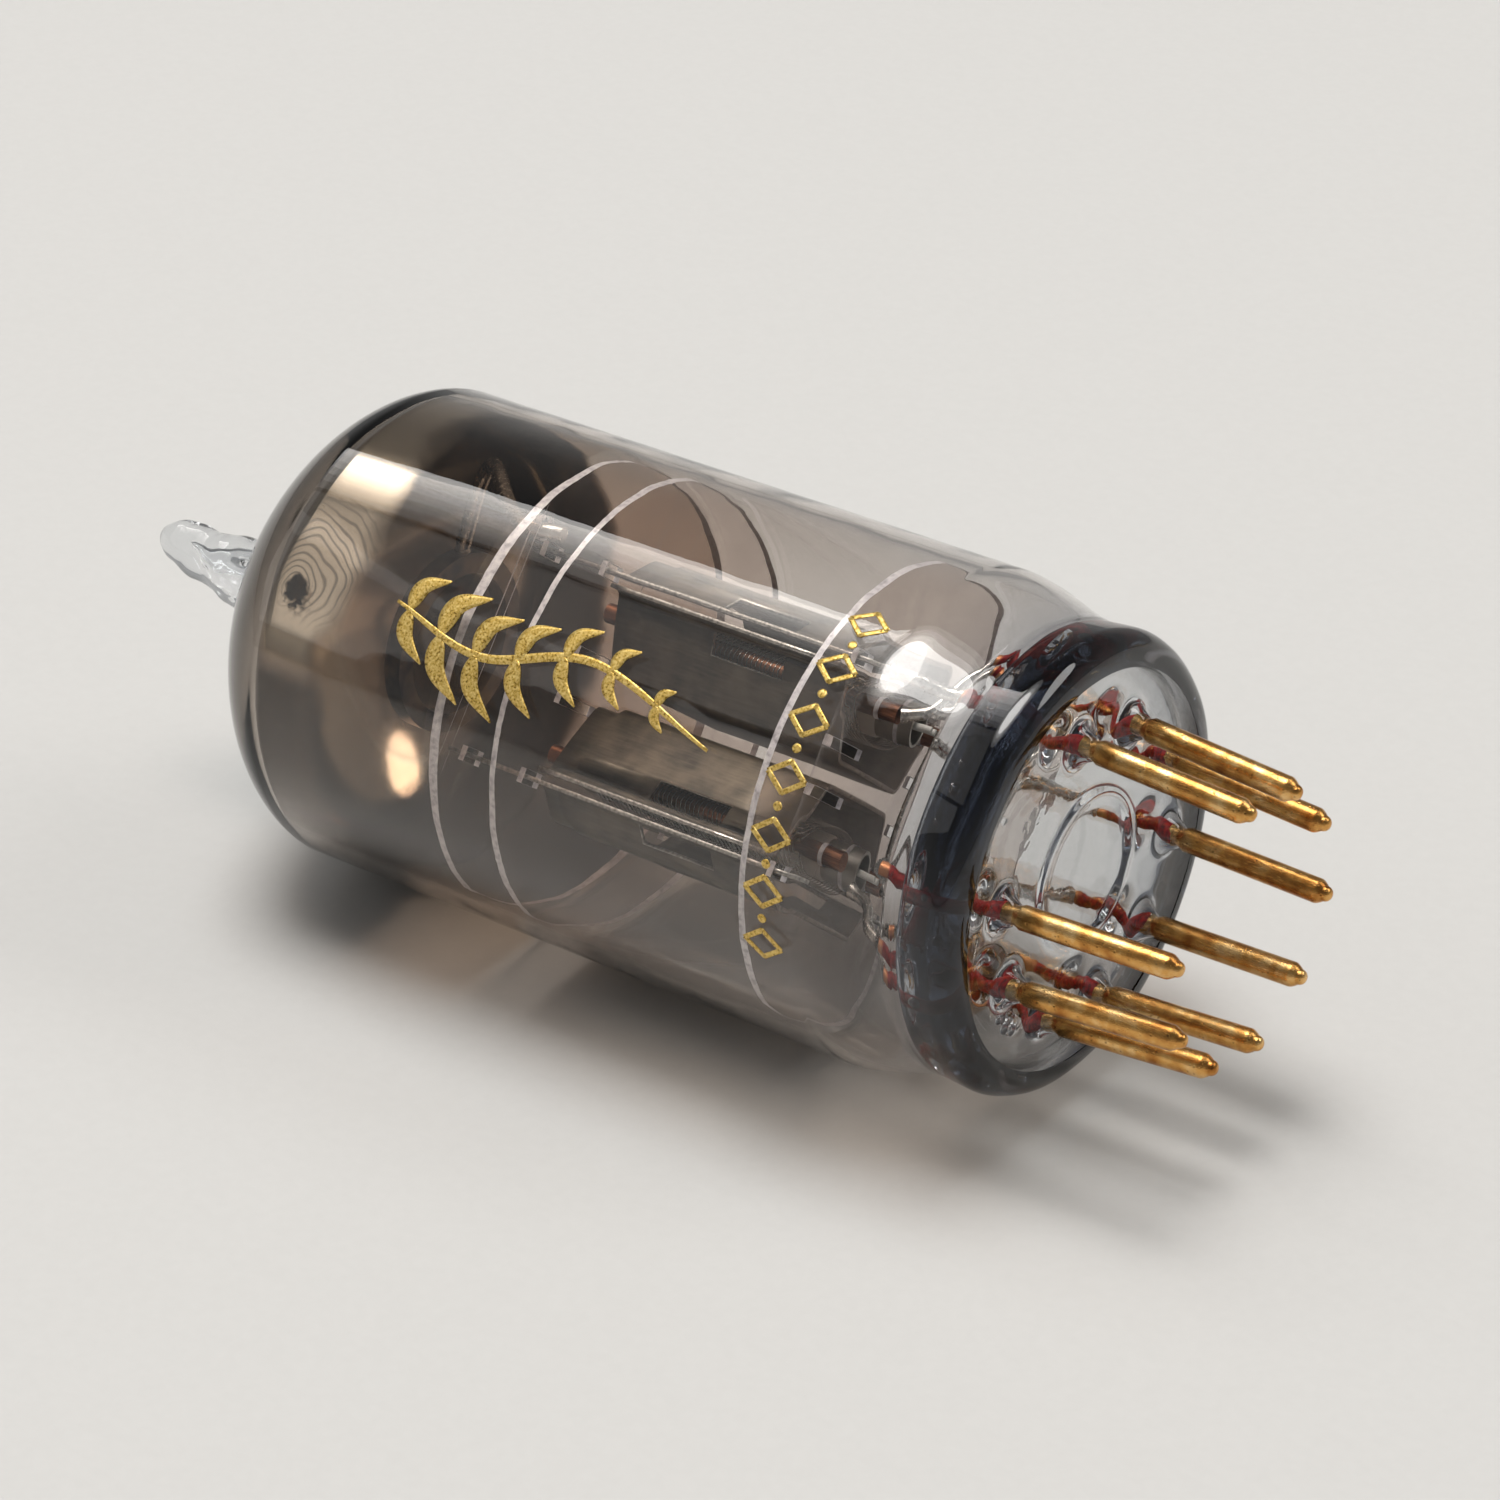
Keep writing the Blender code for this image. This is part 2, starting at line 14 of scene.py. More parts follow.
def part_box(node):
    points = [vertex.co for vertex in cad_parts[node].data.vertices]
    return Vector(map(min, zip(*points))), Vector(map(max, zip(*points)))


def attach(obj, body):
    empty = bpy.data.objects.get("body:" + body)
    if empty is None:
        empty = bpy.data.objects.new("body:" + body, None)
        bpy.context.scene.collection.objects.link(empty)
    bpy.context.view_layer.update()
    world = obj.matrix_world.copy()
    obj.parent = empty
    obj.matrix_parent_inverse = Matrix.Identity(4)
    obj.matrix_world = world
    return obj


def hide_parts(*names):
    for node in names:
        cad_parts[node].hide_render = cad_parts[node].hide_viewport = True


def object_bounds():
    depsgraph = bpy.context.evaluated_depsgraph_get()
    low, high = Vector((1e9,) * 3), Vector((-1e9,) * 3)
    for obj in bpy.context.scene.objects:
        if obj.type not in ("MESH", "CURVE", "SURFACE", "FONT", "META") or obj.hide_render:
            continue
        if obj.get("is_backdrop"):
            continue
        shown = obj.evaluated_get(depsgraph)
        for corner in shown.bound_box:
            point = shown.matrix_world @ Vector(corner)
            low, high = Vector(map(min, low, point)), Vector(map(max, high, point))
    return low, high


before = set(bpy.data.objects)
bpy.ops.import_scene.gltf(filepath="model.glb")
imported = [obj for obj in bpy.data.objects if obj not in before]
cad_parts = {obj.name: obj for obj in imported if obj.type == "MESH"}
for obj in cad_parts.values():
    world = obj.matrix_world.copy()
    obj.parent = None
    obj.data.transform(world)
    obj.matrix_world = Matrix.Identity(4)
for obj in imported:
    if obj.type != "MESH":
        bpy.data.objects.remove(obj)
cad_low, cad_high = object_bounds()


# ---- heaters ------------------------------------------------------------------------
# Each cathode is warmed by a folded tungsten wire, sprayed with white alumina and baked,
# pushed up inside the sleeve.  A short nickel wire joins the two at the centre tap.
mm = 0.001
CAGE = Matrix.Rotation(math.radians(52.2), 4, 'X')
UNITS = ((1, -1.0), (2, 1.0))       # triode number, side of the axis it stands on
UNIT_Y = 3.05 * mm
heater_radius = 0.13 * mm
heater_spread = 0.3 * mm
heater_leg = 3.0 * mm               # straight part at the open end of the fold
heater_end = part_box("heater_1")[1].x
heater_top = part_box("heater_1")[0].x + heater_radius


def linear(code):
    """An sRGB hex colour as linear RGBA."""
    parts = [int(code[i:i + 2], 16) / 255.0 for i in (1, 3, 5)]
    return [c / 12.92 if c <= 0.04045 else ((c + 0.055) / 1.055) ** 2.4 for c in parts] + [1.0]


def add(tree, kind, settings=None, links=None):
    """Add a node: settings are its properties, input values or ramp stops; links feed its
    inputs from sockets, or from the first output of a node."""
    made = tree.nodes.new("ShaderNode" + kind)
    for key, value in (settings or {}).items():
        if key == "ramp":
            stops = made.color_ramp.elements
            while len(stops) < len(value):
                stops.new(1.0)
            for stop, (place, colour) in zip(stops, value):
                stop.position = place
                stop.color = linear(colour)
        elif isinstance(key, str) and hasattr(made, key):
            setattr(made, key, value)
        else:
            made.inputs[key].default_value = value
    for key, source in (links or {}).items():
        first = source.outputs[0] if isinstance(source, bpy.types.Node) else source
        tree.links.new(first, made.inputs[key])
    return made


def fresh_material(name):
    """An empty material: its tree and the place of each point in the tube, in metres."""
    material = bpy.data.materials.new(name)
    material.use_nodes = True
    tree = material.node_tree
    tree.nodes.clear()
    return material, tree, add(tree, "TexCoord").outputs["Object"]


def finish_mesh(name, bm, *materials, sharp=40.0, hollows=None):
    """Turn a bmesh into a piece; hollows is a second bmesh of closed bubbles sealed inside it."""
    bmesh.ops.recalc_face_normals(bm, faces=bm.faces)
    mesh = bpy.data.meshes.new(name)
    if hollows:
        bmesh.ops.recalc_face_normals(hollows, faces=hollows.faces)
        bmesh.ops.reverse_faces(hollows, faces=hollows.faces)
        hollows.to_mesh(mesh)
        hollows.free()
        bm.from_mesh(mesh)
    bm.to_mesh(mesh)
    bm.free()
    for material in materials:
        mesh.materials.append(material)
    mesh.shade_smooth()
    mesh.set_sharp_from_angle(angle=math.radians(sharp))
    piece = bpy.data.objects.new(name, mesh)
    bpy.context.scene.collection.objects.link(piece)
    return piece


def join_rings(bm, rings):
    """Faces between neighbouring rings of points; a ring may be a single point."""
    for low, high in zip(rings, rings[1:]):
        steps = max(len(low), len(high))
        for k in range(steps):
            j = (k + 1) % steps
            if len(low) == 1:
                bm.faces.new((low[0], high[j], high[k]))
            elif len(high) == 1:
                bm.faces.new((low[k], low[j], high[0]))
            else:
                bm.faces.new((low[k], low[j], high[j], high[k]))


def drawn_wire(path, radius, sides=14):
    """Round wire along a path, with square cut ends; radius may be one value a point."""
    bm = bmesh.new()
    path = [Vector(point) for point in path]
    across = None
    rings = []
    for i, point in enumerate(path):
        before, after = path[max(i - 1, 0)], path[min(i + 1, len(path) - 1)]
        along = (after - before).normalized()
        across = along.orthogonal() if across is None else across - along * across.dot(along)
        across.normalize()
        other = along.cross(across)
        size = radius[i] if isinstance(radius, list) else radius
        turns = [math.tau * k / sides for k in range(sides)]
        rings.append([bm.verts.new(point + size * (across * math.cos(a) + other * math.sin(a)))
                      for a in turns])
    join_rings(bm, rings)
    bm.faces.new(rings[0])
    bm.faces.new(rings[-1])
    return bm


def grained(name, grain, stops, settings, detail=2.0, relief=None, stretch=1.0):
    """A surface that drifts between tones over a grain size, drawn out along X by the stretch;
    relief is the strength and the height of its bumps."""
    material, tree, place = fresh_material(name)
    along = add(tree, "Mapping", {"Scale": (1.0 / stretch, 1.0, 1.0)}, {"Vector": place})
    tone = add(tree, "TexNoise", {"Scale": 1.0 / grain, "Detail": detail}, {"Vector": along})
    links = {"Base Color": add(tree, "ValToRGB", {"ramp": stops}, {"Fac": tone})}
    if relief:
        links["Normal"] = add(tree, "Bump", {"Strength": relief[0], "Distance": relief[1]},
                              {"Height": tone})
    skin = add(tree, "BsdfPrincipled", settings, links)
    add(tree, "OutputMaterial", links={"Surface": skin})
    return material


# Sprayed alumina: chalky white with a fine grain, and no gloss.
alumina = grained("sprayed_alumina", 0.04 * mm, [(0.3, "#CFCDC6"), (0.7, "#F1F0EC")],
                  {"Roughness": 0.85}, detail=4.0, relief=(0.5, 0.02 * mm))

for number, unit in UNITS:
    y = unit * UNIT_Y
    path = [(heater_end, y, -heater_spread), (heater_end - heater_leg, y, -heater_spread)]
    for i in range(13):
        turn = math.pi * i / 12.0
        path.append((heater_top + heater_spread * (1.0 - math.sin(turn)), y,
                     -heater_spread * math.cos(turn)))
    path += [(heater_end - heater_leg, y, heater_spread), (heater_end, y, heater_spread)]
    bm = drawn_wire(path, heater_radius, 12)
    bm.transform(CAGE)
    heater = finish_mesh("heater_%d" % number, bm, alumina)
    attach(heater, "root")
    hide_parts("heater_%d" % number)


# ---- cathode sleeves ----------------------------------------------------------------
# Thin seamless nickel tubes that hold the heaters.  The middle is sprayed with barium and
# strontium carbonate, a white powder coat; the ends stay bare and pass through the micas.
sleeve_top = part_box("cathode_1")[0].x
sleeve_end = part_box("cathode_1")[1].x
bare_radius = 0.86 * mm
coat_radius = 0.95 * mm
sleeve_bore = 0.72 * mm
coat_from = -20.4 * mm
coat_to = -10.6 * mm
coat_slope = 0.15 * mm
sleeve_sides = 40


def turned(profile, steps):
    """Spin a profile of (x, radius) points about the tube's axis into a closed skin."""
    bm = bmesh.new()
    rings = []
    for x, radius in profile:
        if radius < 1e-7:
            rings.append([bm.verts.new((x, 0.0, 0.0))])
            continue
        turns = [math.tau * k / steps for k in range(steps)]
        rings.append([bm.verts.new((x, radius * math.sin(a), radius * math.cos(a))) for a in turns])
    join_rings(bm, rings)
    return bm


# Powder coat over bare nickel: the coat is chalk white, the ends a soft grey metal.
oxide, tree, place = fresh_material("sprayed_oxide_on_nickel")
axes = add(tree, "SeparateXYZ", links={"Vector": place})
low = add(tree, "Math", {"operation": 'GREATER_THAN', 1: coat_from}, {0: axes.outputs["X"]})
high = add(tree, "Math", {"operation": 'LESS_THAN', 1: coat_to}, {0: axes.outputs["X"]})
coated = add(tree, "Math", {"operation": 'MULTIPLY'}, {0: low, 1: high})
grain = add(tree, "TexNoise", {"Scale": 1.0 / (0.03 * mm), "Detail": 3.0}, {"Vector": place})
powder = add(tree, "ValToRGB", {"ramp": [(0.3, "#D8D6CE"), (0.7, "#F4F3EE")]}, {"Fac": grain})
bump = add(tree, "Bump", {"Strength": 0.4, "Distance": 0.015 * mm}, {"Height": grain})
coat = add(tree, "BsdfPrincipled", {"Roughness": 0.9}, {"Base Color": powder, "Normal": bump})
bare = add(tree, "BsdfPrincipled",
           {"Base Color": linear("#A9A49C"), "Metallic": 1.0, "Roughness": 0.38})
both = add(tree, "MixShader", links={0: coated, 1: bare, 2: coat})
add(tree, "OutputMaterial", links={"Surface": both})

for number, unit in UNITS:
    profile = [(sleeve_top, sleeve_bore), (sleeve_top, bare_radius), (coat_from, bare_radius),
               (coat_from + coat_slope, coat_radius), (coat_to - coat_slope, coat_radius),
               (coat_to, bare_radius), (sleeve_end, bare_radius), (sleeve_end, sleeve_bore)]
    bm = turned(profile, sleeve_sides)
    points = list(bm.verts)
    join_rings(bm, [points[:sleeve_sides], points[-sleeve_sides:]])     # the bore
    bm.transform(CAGE @ Matrix.Translation((0.0, unit * UNIT_Y, 0.0)))
    sleeve = finish_mesh("cathode_%d" % number, bm, oxide)
    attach(sleeve, "root")
    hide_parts("cathode_%d" % number)


# ---- grids --------------------------------------------------------------------------
# Two copper-plated side rods stand either side of each cathode.  Fine molybdenum wire is
# wound round them in a flat oval, and each turn is swaged into a notch in the rod.
rod_radius = 0.4 * mm
rod_offset = 2.9 * mm
rod_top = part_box("grid_1_front_rod")[0].x
rod_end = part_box("grid_1_front_rod")[1].x
winding_from = -20.5 * mm
winding_to = -10.4 * mm
winding_pitch = 0.22 * mm
winding_wire = 0.032 * mm
winding_depth = 1.3 * mm

# Drawn copper plate: warm pinkish metal with faint lines along the rod.
copper = grained("copper_plated_rod", 0.05 * mm, [(0.3, "#7C5340"), (0.7, "#AD7C60")],
                 {"Metallic": 1.0, "Roughness": 0.3}, stretch=20.0)

# Bright molybdenum wire: clean pale grey metal.
moly = grained("bright_molybdenum_wire", 0.3 * mm, [(0.3, "#8E8B86"), (0.7, "#C6C3BD")],
               {"Metallic": 1.0, "Roughness": 0.25})

for number, unit in UNITS:
    y = unit * UNIT_Y
    for side, end in (("front", 1.0), ("back", -1.0)):
        bm = drawn_wire([(rod_top, y, end * rod_offset), (rod_end, y, end * rod_offset)],
                        rod_radius, 24)
        bm.transform(CAGE)
        rod = finish_mesh("grid_%d_%s_rod" % (number, side), bm, copper)
        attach(rod, "root")
        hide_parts("grid_%d_%s_rod" % (number, side))
    half_width = rod_offset + rod_radius + winding_wire
    path = []
    steps = 24
    for i in range(int((winding_to - winding_from) / winding_pitch * steps)):
        turn = math.tau * i / steps
        path.append((winding_from + winding_pitch * i / steps,
                     y + winding_depth * math.cos(turn) * (1.0 - 0.35 * math.sin(turn) ** 4),
                     half_width * math.sin(turn)))
    bm = drawn_wire(path, winding_wire, 5)
    bm.transform(CAGE)
    winding = finish_mesh("grid_%d_winding" % number, bm, moly, sharp=80.0)
    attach(winding, "root")
    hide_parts("grid_%d_winding" % number)


# ---- anodes -------------------------------------------------------------------------
# Each anode is two halves stamped from nickel strip and carbonised dark grey, so that they
# shed heat.  The halves are clamped at two seams; tabs from the outer half lock in the micas.
SEAM_Y = 4.1 * mm
sheet = 0.18 * mm
half_gap = 0.25 * mm                # from the seam plane to the middle of each sheet
flange_edge = 6.1 * mm
flange_root = 5.3 * mm
crease = (1.7 * mm, 4.7 * mm)       # distance from the seam plane, half height
inner_side = (3.6 * mm, 3.7 * mm)
outer_side = (1.5 * mm, 3.7 * mm)
anode_top = -21.1 * mm
anode_end = -9.9 * mm
step_x = -20.0 * mm                 # stamped step where the ends are drawn in a little
tab_top = -25.5 * mm
tab_end = -8.0 * mm
tab_z = 5.7 * mm                    # half way across a seam flange
stamped_corner = 0.35 * mm
window_x = (-16.3 * mm, -12.8 * mm)
outer_window = (0.35 * mm, 1.0 * mm)
inner_window = (0.55 * mm, 1.45 * mm)


def rounded(points, radius, count=4):
    """Fillet the corners of an open outline."""
    out = [points[0]]
    for a, b, c in zip(points, points[1:], points[2:]):
        a, b, c = Vector(a), Vector(b), Vector(c)
        back = (a - b).normalized()
        on = (c - b).normalized()
        reach = min(radius, 0.4 * (a - b).length, 0.4 * (c - b).length)
        start, stop = b + back * reach, b + on * reach
        for i in range(count + 1):
            t = i / count
            out.append(tuple(start.lerp(b, t).lerp(b.lerp(stop, t), t)))
    return out + [points[-1]]


# Carbonised nickel: matt charcoal with a slight metallic sheen, mottled, with faint rolling
# lines along the strip.
carbon, tree, place = fresh_material("carbonised_nickel_strip")
lines = add(tree, "Mapping", {"Scale": (0.08, 1.0, 1.0)}, {"Vector": place})
rolling = add(tree, "TexNoise", {"Scale": 1.0 / (0.12 * mm), "Detail": 3.0}, {"Vector": lines})
mottle = add(tree, "TexNoise", {"Scale": 1.0 / (1.2 * mm), "Detail": 4.0}, {"Vector": place})
blend = add(tree, "Math", {"operation": 'MULTIPLY_ADD', 1: 0.45}, {0: rolling, 2: mottle})
tint = add(tree, "ValToRGB", {"ramp": [(0.45, "#332F2A"), (0.95, "#6A6052")]}, {"Fac": blend})
gloss = add(tree, "MapRange", {"To Min": 0.34, "To Max": 0.56}, {"Value": mottle})
bump = add(tree, "Bump", {"Strength": 0.25, "Distance": 0.01 * mm}, {"Height": rolling})
skin = add(tree, "BsdfPrincipled", {"Metallic": 0.55},
           {"Base Color": tint, "Roughness": gloss, "Normal": bump})
add(tree, "OutputMaterial", links={"Surface": skin})

# Sheared nickel edge: the cut shows bright metal through the carbon.
sheared = grained("sheared_nickel_edge", 0.15 * mm, [(0.3, "#7C7873"), (0.7, "#C9C4BC")],
                  {"Metallic": 1.0, "Roughness": 0.32})


def anode_half(unit, side):
    """One stamped half as a grid of faces, thickened afterwards."""
    outer = unit == side
    reach, half = outer_side if outer else inner_side
    window = outer_window if outer else inner_window
    front = [(half_gap, flange_edge), (half_gap, flange_root)]
    front += [] if outer else [crease]
    front += [(reach, half), (reach, 0.0)]
    front = rounded(front, stamped_corner)
    marks = []
    for (d0, z0), (d1, z1) in zip(front, front[1:]):
        marks.append((d0, z0))
        for edge in window:
            if d0 < edge < d1:
                marks.append((edge, z0 + (z1 - z0) * (edge - d0) / (d1 - d0)))
    outline = marks + [front[-1]] + [(d, -z) for d, z in reversed(marks)]
    stations = [tab_top, anode_top, step_x - 0.12 * mm, step_x + 0.12 * mm, *window_x,
                anode_end, tab_end]
    bm = bmesh.new()
    grid = {}
    for i, x in enumerate(stations):
        for j, (d, z) in enumerate(outline):
            drawn_in = 0.93 if x < step_x and d > half_gap else 1.0
            grid[i, j] = bm.verts.new((x, unit * SEAM_Y + side * d * drawn_in, z))
    for i in range(len(stations) - 1):
        for j in range(len(outline) - 1):
            tab = i in (0, len(stations) - 2)
            flange = j in (0, len(outline) - 2)
            mid = 0.5 * (outline[j][0] + outline[j + 1][0])
            open_here = stations[i] == window_x[0] and window[0] < mid < window[1]
            open_here = open_here and abs(outline[j][1]) > half
            if (tab and not (outer and flange)) or open_here:
                continue
            bm.faces.new((grid[i, j], grid[i + 1, j], grid[i + 1, j + 1], grid[i, j + 1]))
    bmesh.ops.delete(bm, geom=[v for v in bm.verts if not v.link_faces], context='VERTS')
    bm.transform(CAGE)
    return bm


for number, unit in UNITS:
    for word, side in (("outer", unit), ("inner", -unit)):
        name = "anode_%d_%s_half" % (number, word)
        half_shell = finish_mesh(name, anode_half(unit, side), carbon, sheared, sharp=30.0)
        thicken = half_shell.modifiers.new("sheet", 'SOLIDIFY')
        thicken.thickness = sheet
        thicken.offset = 0.0
        thicken.use_even_offset = True
        thicken.material_offset_rim = 1
        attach(half_shell, "root")
        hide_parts(name)


# ---- mica spacers -------------------------------------------------------------------
# Discs punched from cleaved muscovite.  They hold the rods, sleeves and anode tabs at both
# ends, and their rims press on the glass.  The top one shields the cage from the getter.
mica_radius = 9.5 * mm
mica_sheet = 0.26 * mm
split_from = 9.0 * mm               # the rim opens into layers outside this radius

# Cleaved mica: nearly clear with a warm tint, faint silky layers, a soft gloss.
mica, tree, place = fresh_material("cleaved_mica")
layers = add(tree, "TexNoise", {"Scale": 1.0 / (3.0 * mm), "Detail": 5.0, "Distortion": 0.6},
             {"Vector": place})
haze = add(tree, "MapRange", {"From Min": 0.45, "From Max": 0.8, "To Min": 0.0, "To Max": 0.08},
           {"Value": layers})
facing = add(tree, "LayerWeight", {"Blend": 0.5})
glance = add(tree, "Math", {"operation": 'POWER', 1: 3.0}, {0: facing.outputs["Facing"]})
cover = add(tree, "Math", {"operation": 'MULTIPLY_ADD', 1: 0.7, "use_clamp": True},
            {0: glance, 2: haze})
bump = add(tree, "Bump", {"Strength": 0.12, "Distance": 0.05 * mm}, {"Height": layers})
clear = add(tree, "BsdfTransparent", {"Color": linear("#F7F2EF")})
sheen = add(tree, "BsdfPrincipled",
            {"Base Color": linear("#C9C1BC"), "Roughness": 0.16, "IOR": 1.58}, {"Normal": bump})
both = add(tree, "MixShader", links={0: cover, 1: clear, 2: sheen})
add(tree, "OutputMaterial", links={"Surface": both})

# Torn mica edge: the split layers scatter light, so the rim reads white with a lilac cast.
mica_edge = grained("torn_mica_edge", 0.25 * mm,
                    [(0.25, "#A8A4AC"), (0.5, "#E6E4EA"), (0.75, "#FFFFFF")],
                    {"Roughness": 0.35, "Specular IOR Level": 0.8}, detail=4.0)


def ring_outline(y, z, radius, count, ragged=0.0, seed=0.0):
    """A round outline, with a nibbled edge where ragged is more than 0."""
    points = []
    for i in range(count):
        turn = math.tau * i / count
        size = radius + ragged * noise.noise((7.0 * math.cos(turn), 7.0 * math.sin(turn), seed))
        size += 0.5 * ragged * noise.noise((40.0 * math.cos(turn), 40.0 * math.sin(turn),
                                            seed + 5.0))
        points.append((y + size * math.cos(turn), z + size * math.sin(turn)))
    return points


def slot_outline(y, z, half_y, half_z):
    """A small rectangular punching."""
    return [(y - half_y, z - half_z), (y + half_y, z - half_z), (y + half_y, z + half_z),
            (y - half_y, z + half_z)]


def punched_disc(name, x, holes, seed, split):
    """A mica disc: a ragged outline and its holes, filled and thickened; split opens its rim."""
    outline = bpy.data.curves.new(name, 'CURVE')
    outline.dimensions = '2D'
    outline.fill_mode = 'BOTH'
    outline.extrude = 0.5 * mica_sheet
    for points in [ring_outline(0.0, 0.0, mica_radius, 240, 0.05 * mm, seed)] + holes:
        line = outline.splines.new('POLY')
        line.points.add(len(points) - 1)
        for spot, (y, z) in zip(line.points, points):
            spot.co = (y, z, 0.0, 1.0)
        line.use_cyclic_u = True
    shape = bpy.data.objects.new(name, outline)
    bpy.context.scene.collection.objects.link(shape)
    bpy.context.view_layer.update()
    filled = shape.evaluated_get(bpy.context.evaluated_depsgraph_get())
    mesh = bpy.data.meshes.new_from_object(filled)
    bpy.data.objects.remove(shape)
    bm = bmesh.new()
    bm.from_mesh(mesh)
    bmesh.ops.remove_doubles(bm, verts=bm.verts, dist=0.001 * mm)
    for vert in bm.verts:
        y, z, along = vert.co
        if math.hypot(y, z) > split_from:
            along *= 1.0 + split * max(0.0, 0.3 + noise.noise((150.0 * y, 150.0 * z, seed + 9.0)))
        vert.co = (x + along, y, z)
    bm.normal_update()
    for face in bm.faces:
        face.material_index = 0 if abs(face.normal.x) > 0.5 else 1
    bm.transform(CAGE)
    return finish_mesh(name, bm, mica, mica_edge)


tab_holes = []
work_holes = []
for number, unit in UNITS:
    for end in (-1.0, 1.0):
        tab_holes.append(slot_outline(unit * (SEAM_Y + half_gap), end * tab_z, 0.3 * mm, 0.6 * mm))
        work_holes.append(ring_outline(unit * UNIT_Y, end * rod_offset, rod_radius + 0.06 * mm, 24))
        work_holes.append(slot_outline(unit * 1.0 * mm, end * 4.6 * mm, 0.22 * mm, 1.3 * mm))
    work_holes.append(ring_outline(unit * UNIT_Y, 0.0, bare_radius + 0.05 * mm, 32))
getter_foot = (5.0 * mm, 6.9 * mm)
foot_hole = [ring_outline(*getter_foot, 0.5 * mm, 24)]
for name, holes, seed, split in (("getter_mica", tab_holes + foot_hole, 1.0, 1.4),
                                 ("upper_mica", tab_holes + work_holes, 2.0, 0.6),
                                 ("lower_mica", tab_holes + work_holes, 3.0, 0.6)):
    low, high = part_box(name)
    disc = punched_disc(name, 0.5 * (low.x + high.x), holes, seed, split)
    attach(disc, "root")
    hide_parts(name)


# ---- getter -------------------------------------------------------------------------
# A channel ring that carried the barium pill, welded to a bent wire that stands on the top
# mica.  Flashing it red hot silvered the dome and left the ring blue and brown.
getter_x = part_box("getter_ring")[0].x + 0.45 * mm
ring_radius = 3.5 * mm
ring_sides = 96

# Heat-tinted steel: dark grey with straw and blue patches.
tinted = grained("heat_tinted_steel", 1.5 * mm,
                 [(0.3, "#3B3B44"), (0.5, "#6B6058"), (0.7, "#8A7C66")],
                 {"Metallic": 1.0, "Roughness": 0.34})

bm = bmesh.new()
channel = [(-0.42, -0.42), (-0.42, -0.30), (0.28, -0.30), (0.28, 0.30), (-0.42, 0.30),
           (-0.42, 0.42), (0.40, 0.42), (0.40, -0.42)]
rings = []
for i in range(ring_sides):
    turn = math.tau * i / ring_sides
    rings.append([bm.verts.new((getter_x + a * mm, (ring_radius + b * mm) * math.sin(turn),
                                (ring_radius + b * mm) * math.cos(turn))) for a, b in channel])
join_rings(bm, rings + rings[:1])
bm.transform(CAGE)
getter_ring = finish_mesh("getter_ring", bm, tinted, sharp=30.0)
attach(getter_ring, "root")
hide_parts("getter_ring")


def eased(points, per=10):
    """A smooth path through a few points."""
    points = [Vector(p) for p in points]
    points = [2 * points[0] - points[1]] + points + [2 * points[-1] - points[-2]]
    path = []
    for a, b, c, d in zip(points, points[1:], points[2:], points[3:]):
        for i in range(per):
            t = i / per
            path.append(0.5 * (2 * b + (c - a) * t + (2 * a - 5 * b + 4 * c - d) * t * t
                               + (3 * b - a - 3 * c + d) * t ** 3))
    return path + [points[-2]]


# Bright drawn nickel: clean warm-white metal with soft die lines.
nickel, tree, place = fresh_material("drawn_nickel_wire")
tone = add(tree, "TexNoise", {"Scale": 1.0 / (0.2 * mm), "Detail": 3.0}, {"Vector": place})
tint = add(tree, "ValToRGB", {"ramp": [(0.3, "#A39C93"), (0.7, "#DDD8D0")]}, {"Fac": tone})
gloss = add(tree, "MapRange", {"To Min": 0.16, "To Max": 0.34}, {"Value": tone})
skin = add(tree, "BsdfPrincipled", {"Metallic": 1.0}, {"Base Color": tint, "Roughness": gloss})
add(tree, "OutputMaterial", links={"Surface": skin})

mica_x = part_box("getter_mica")[0].x
elbow = Vector((getter_x + 0.9 * mm, 7.1 * mm, 3.4 * mm))
inward = Vector((0.0, 7.1, 3.4)).normalized() * (ring_radius + 0.40 * mm)
bm = drawn_wire(eased([(mica_x + 1.2 * mm, *getter_foot), (mica_x - 1.2 * mm, *getter_foot), elbow,
                       (getter_x, inward.y + 0.4 * mm, inward.z + 0.2 * mm),
                       (getter_x, inward.y, inward.z)]),
                0.32 * mm, 16)
bm.transform(CAGE)
getter_support = finish_mesh("getter_support", bm, nickel)
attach(getter_support, "root")
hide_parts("getter_support")


# ---- button stem --------------------------------------------------------------------
# The base is a pressed disc of clear glass with the nine wires moulded in.  Molten glass
# creeps up each wire as a little boss, and the mould leaves a round ridge in the middle.
PINS = Matrix.Rotation(math.radians(44.0), 4, 'X')
pin_circle = 5.945 * mm
stem_radius = 8.35 * mm
stem_inner_x = -2.6 * mm
boss_height = 0.75 * mm


def pin_at(number):
    """(y, z) of a pin's centre on the base; the tenth place, at the top, is empty."""
    turn = math.radians(36.0) * number
    return pin_circle * math.sin(turn), pin_circle * math.cos(turn)


def stem_height(y, z, inner):
    """How far the glass stands out of the disc at a point."""
    radius = math.hypot(y, z)
    rise = 0.0 if inner else 0.13 * mm * math.exp(-((radius - 3.1 * mm) / (0.3 * mm)) ** 2)
    rise += 0.09 * mm * max(0.0, (radius - 7.2 * mm) / (1.15 * mm)) ** 2
    rise += 0.03 * mm * noise.noise((350.0 * y, 350.0 * z, 3.0 if inner else 9.0))
    for number in range(1, 10):
        py, pz = pin_at(number)
        away = math.hypot(y - py, z - pz)
        wide = 1.5 * mm if inner else 1.3 * mm
        t = min(max((away - 0.45 * mm) / (wide - 0.45 * mm), 0.0), 1.0)
        rise += boss_height * (1.0 - t) ** 2.4
    return rise


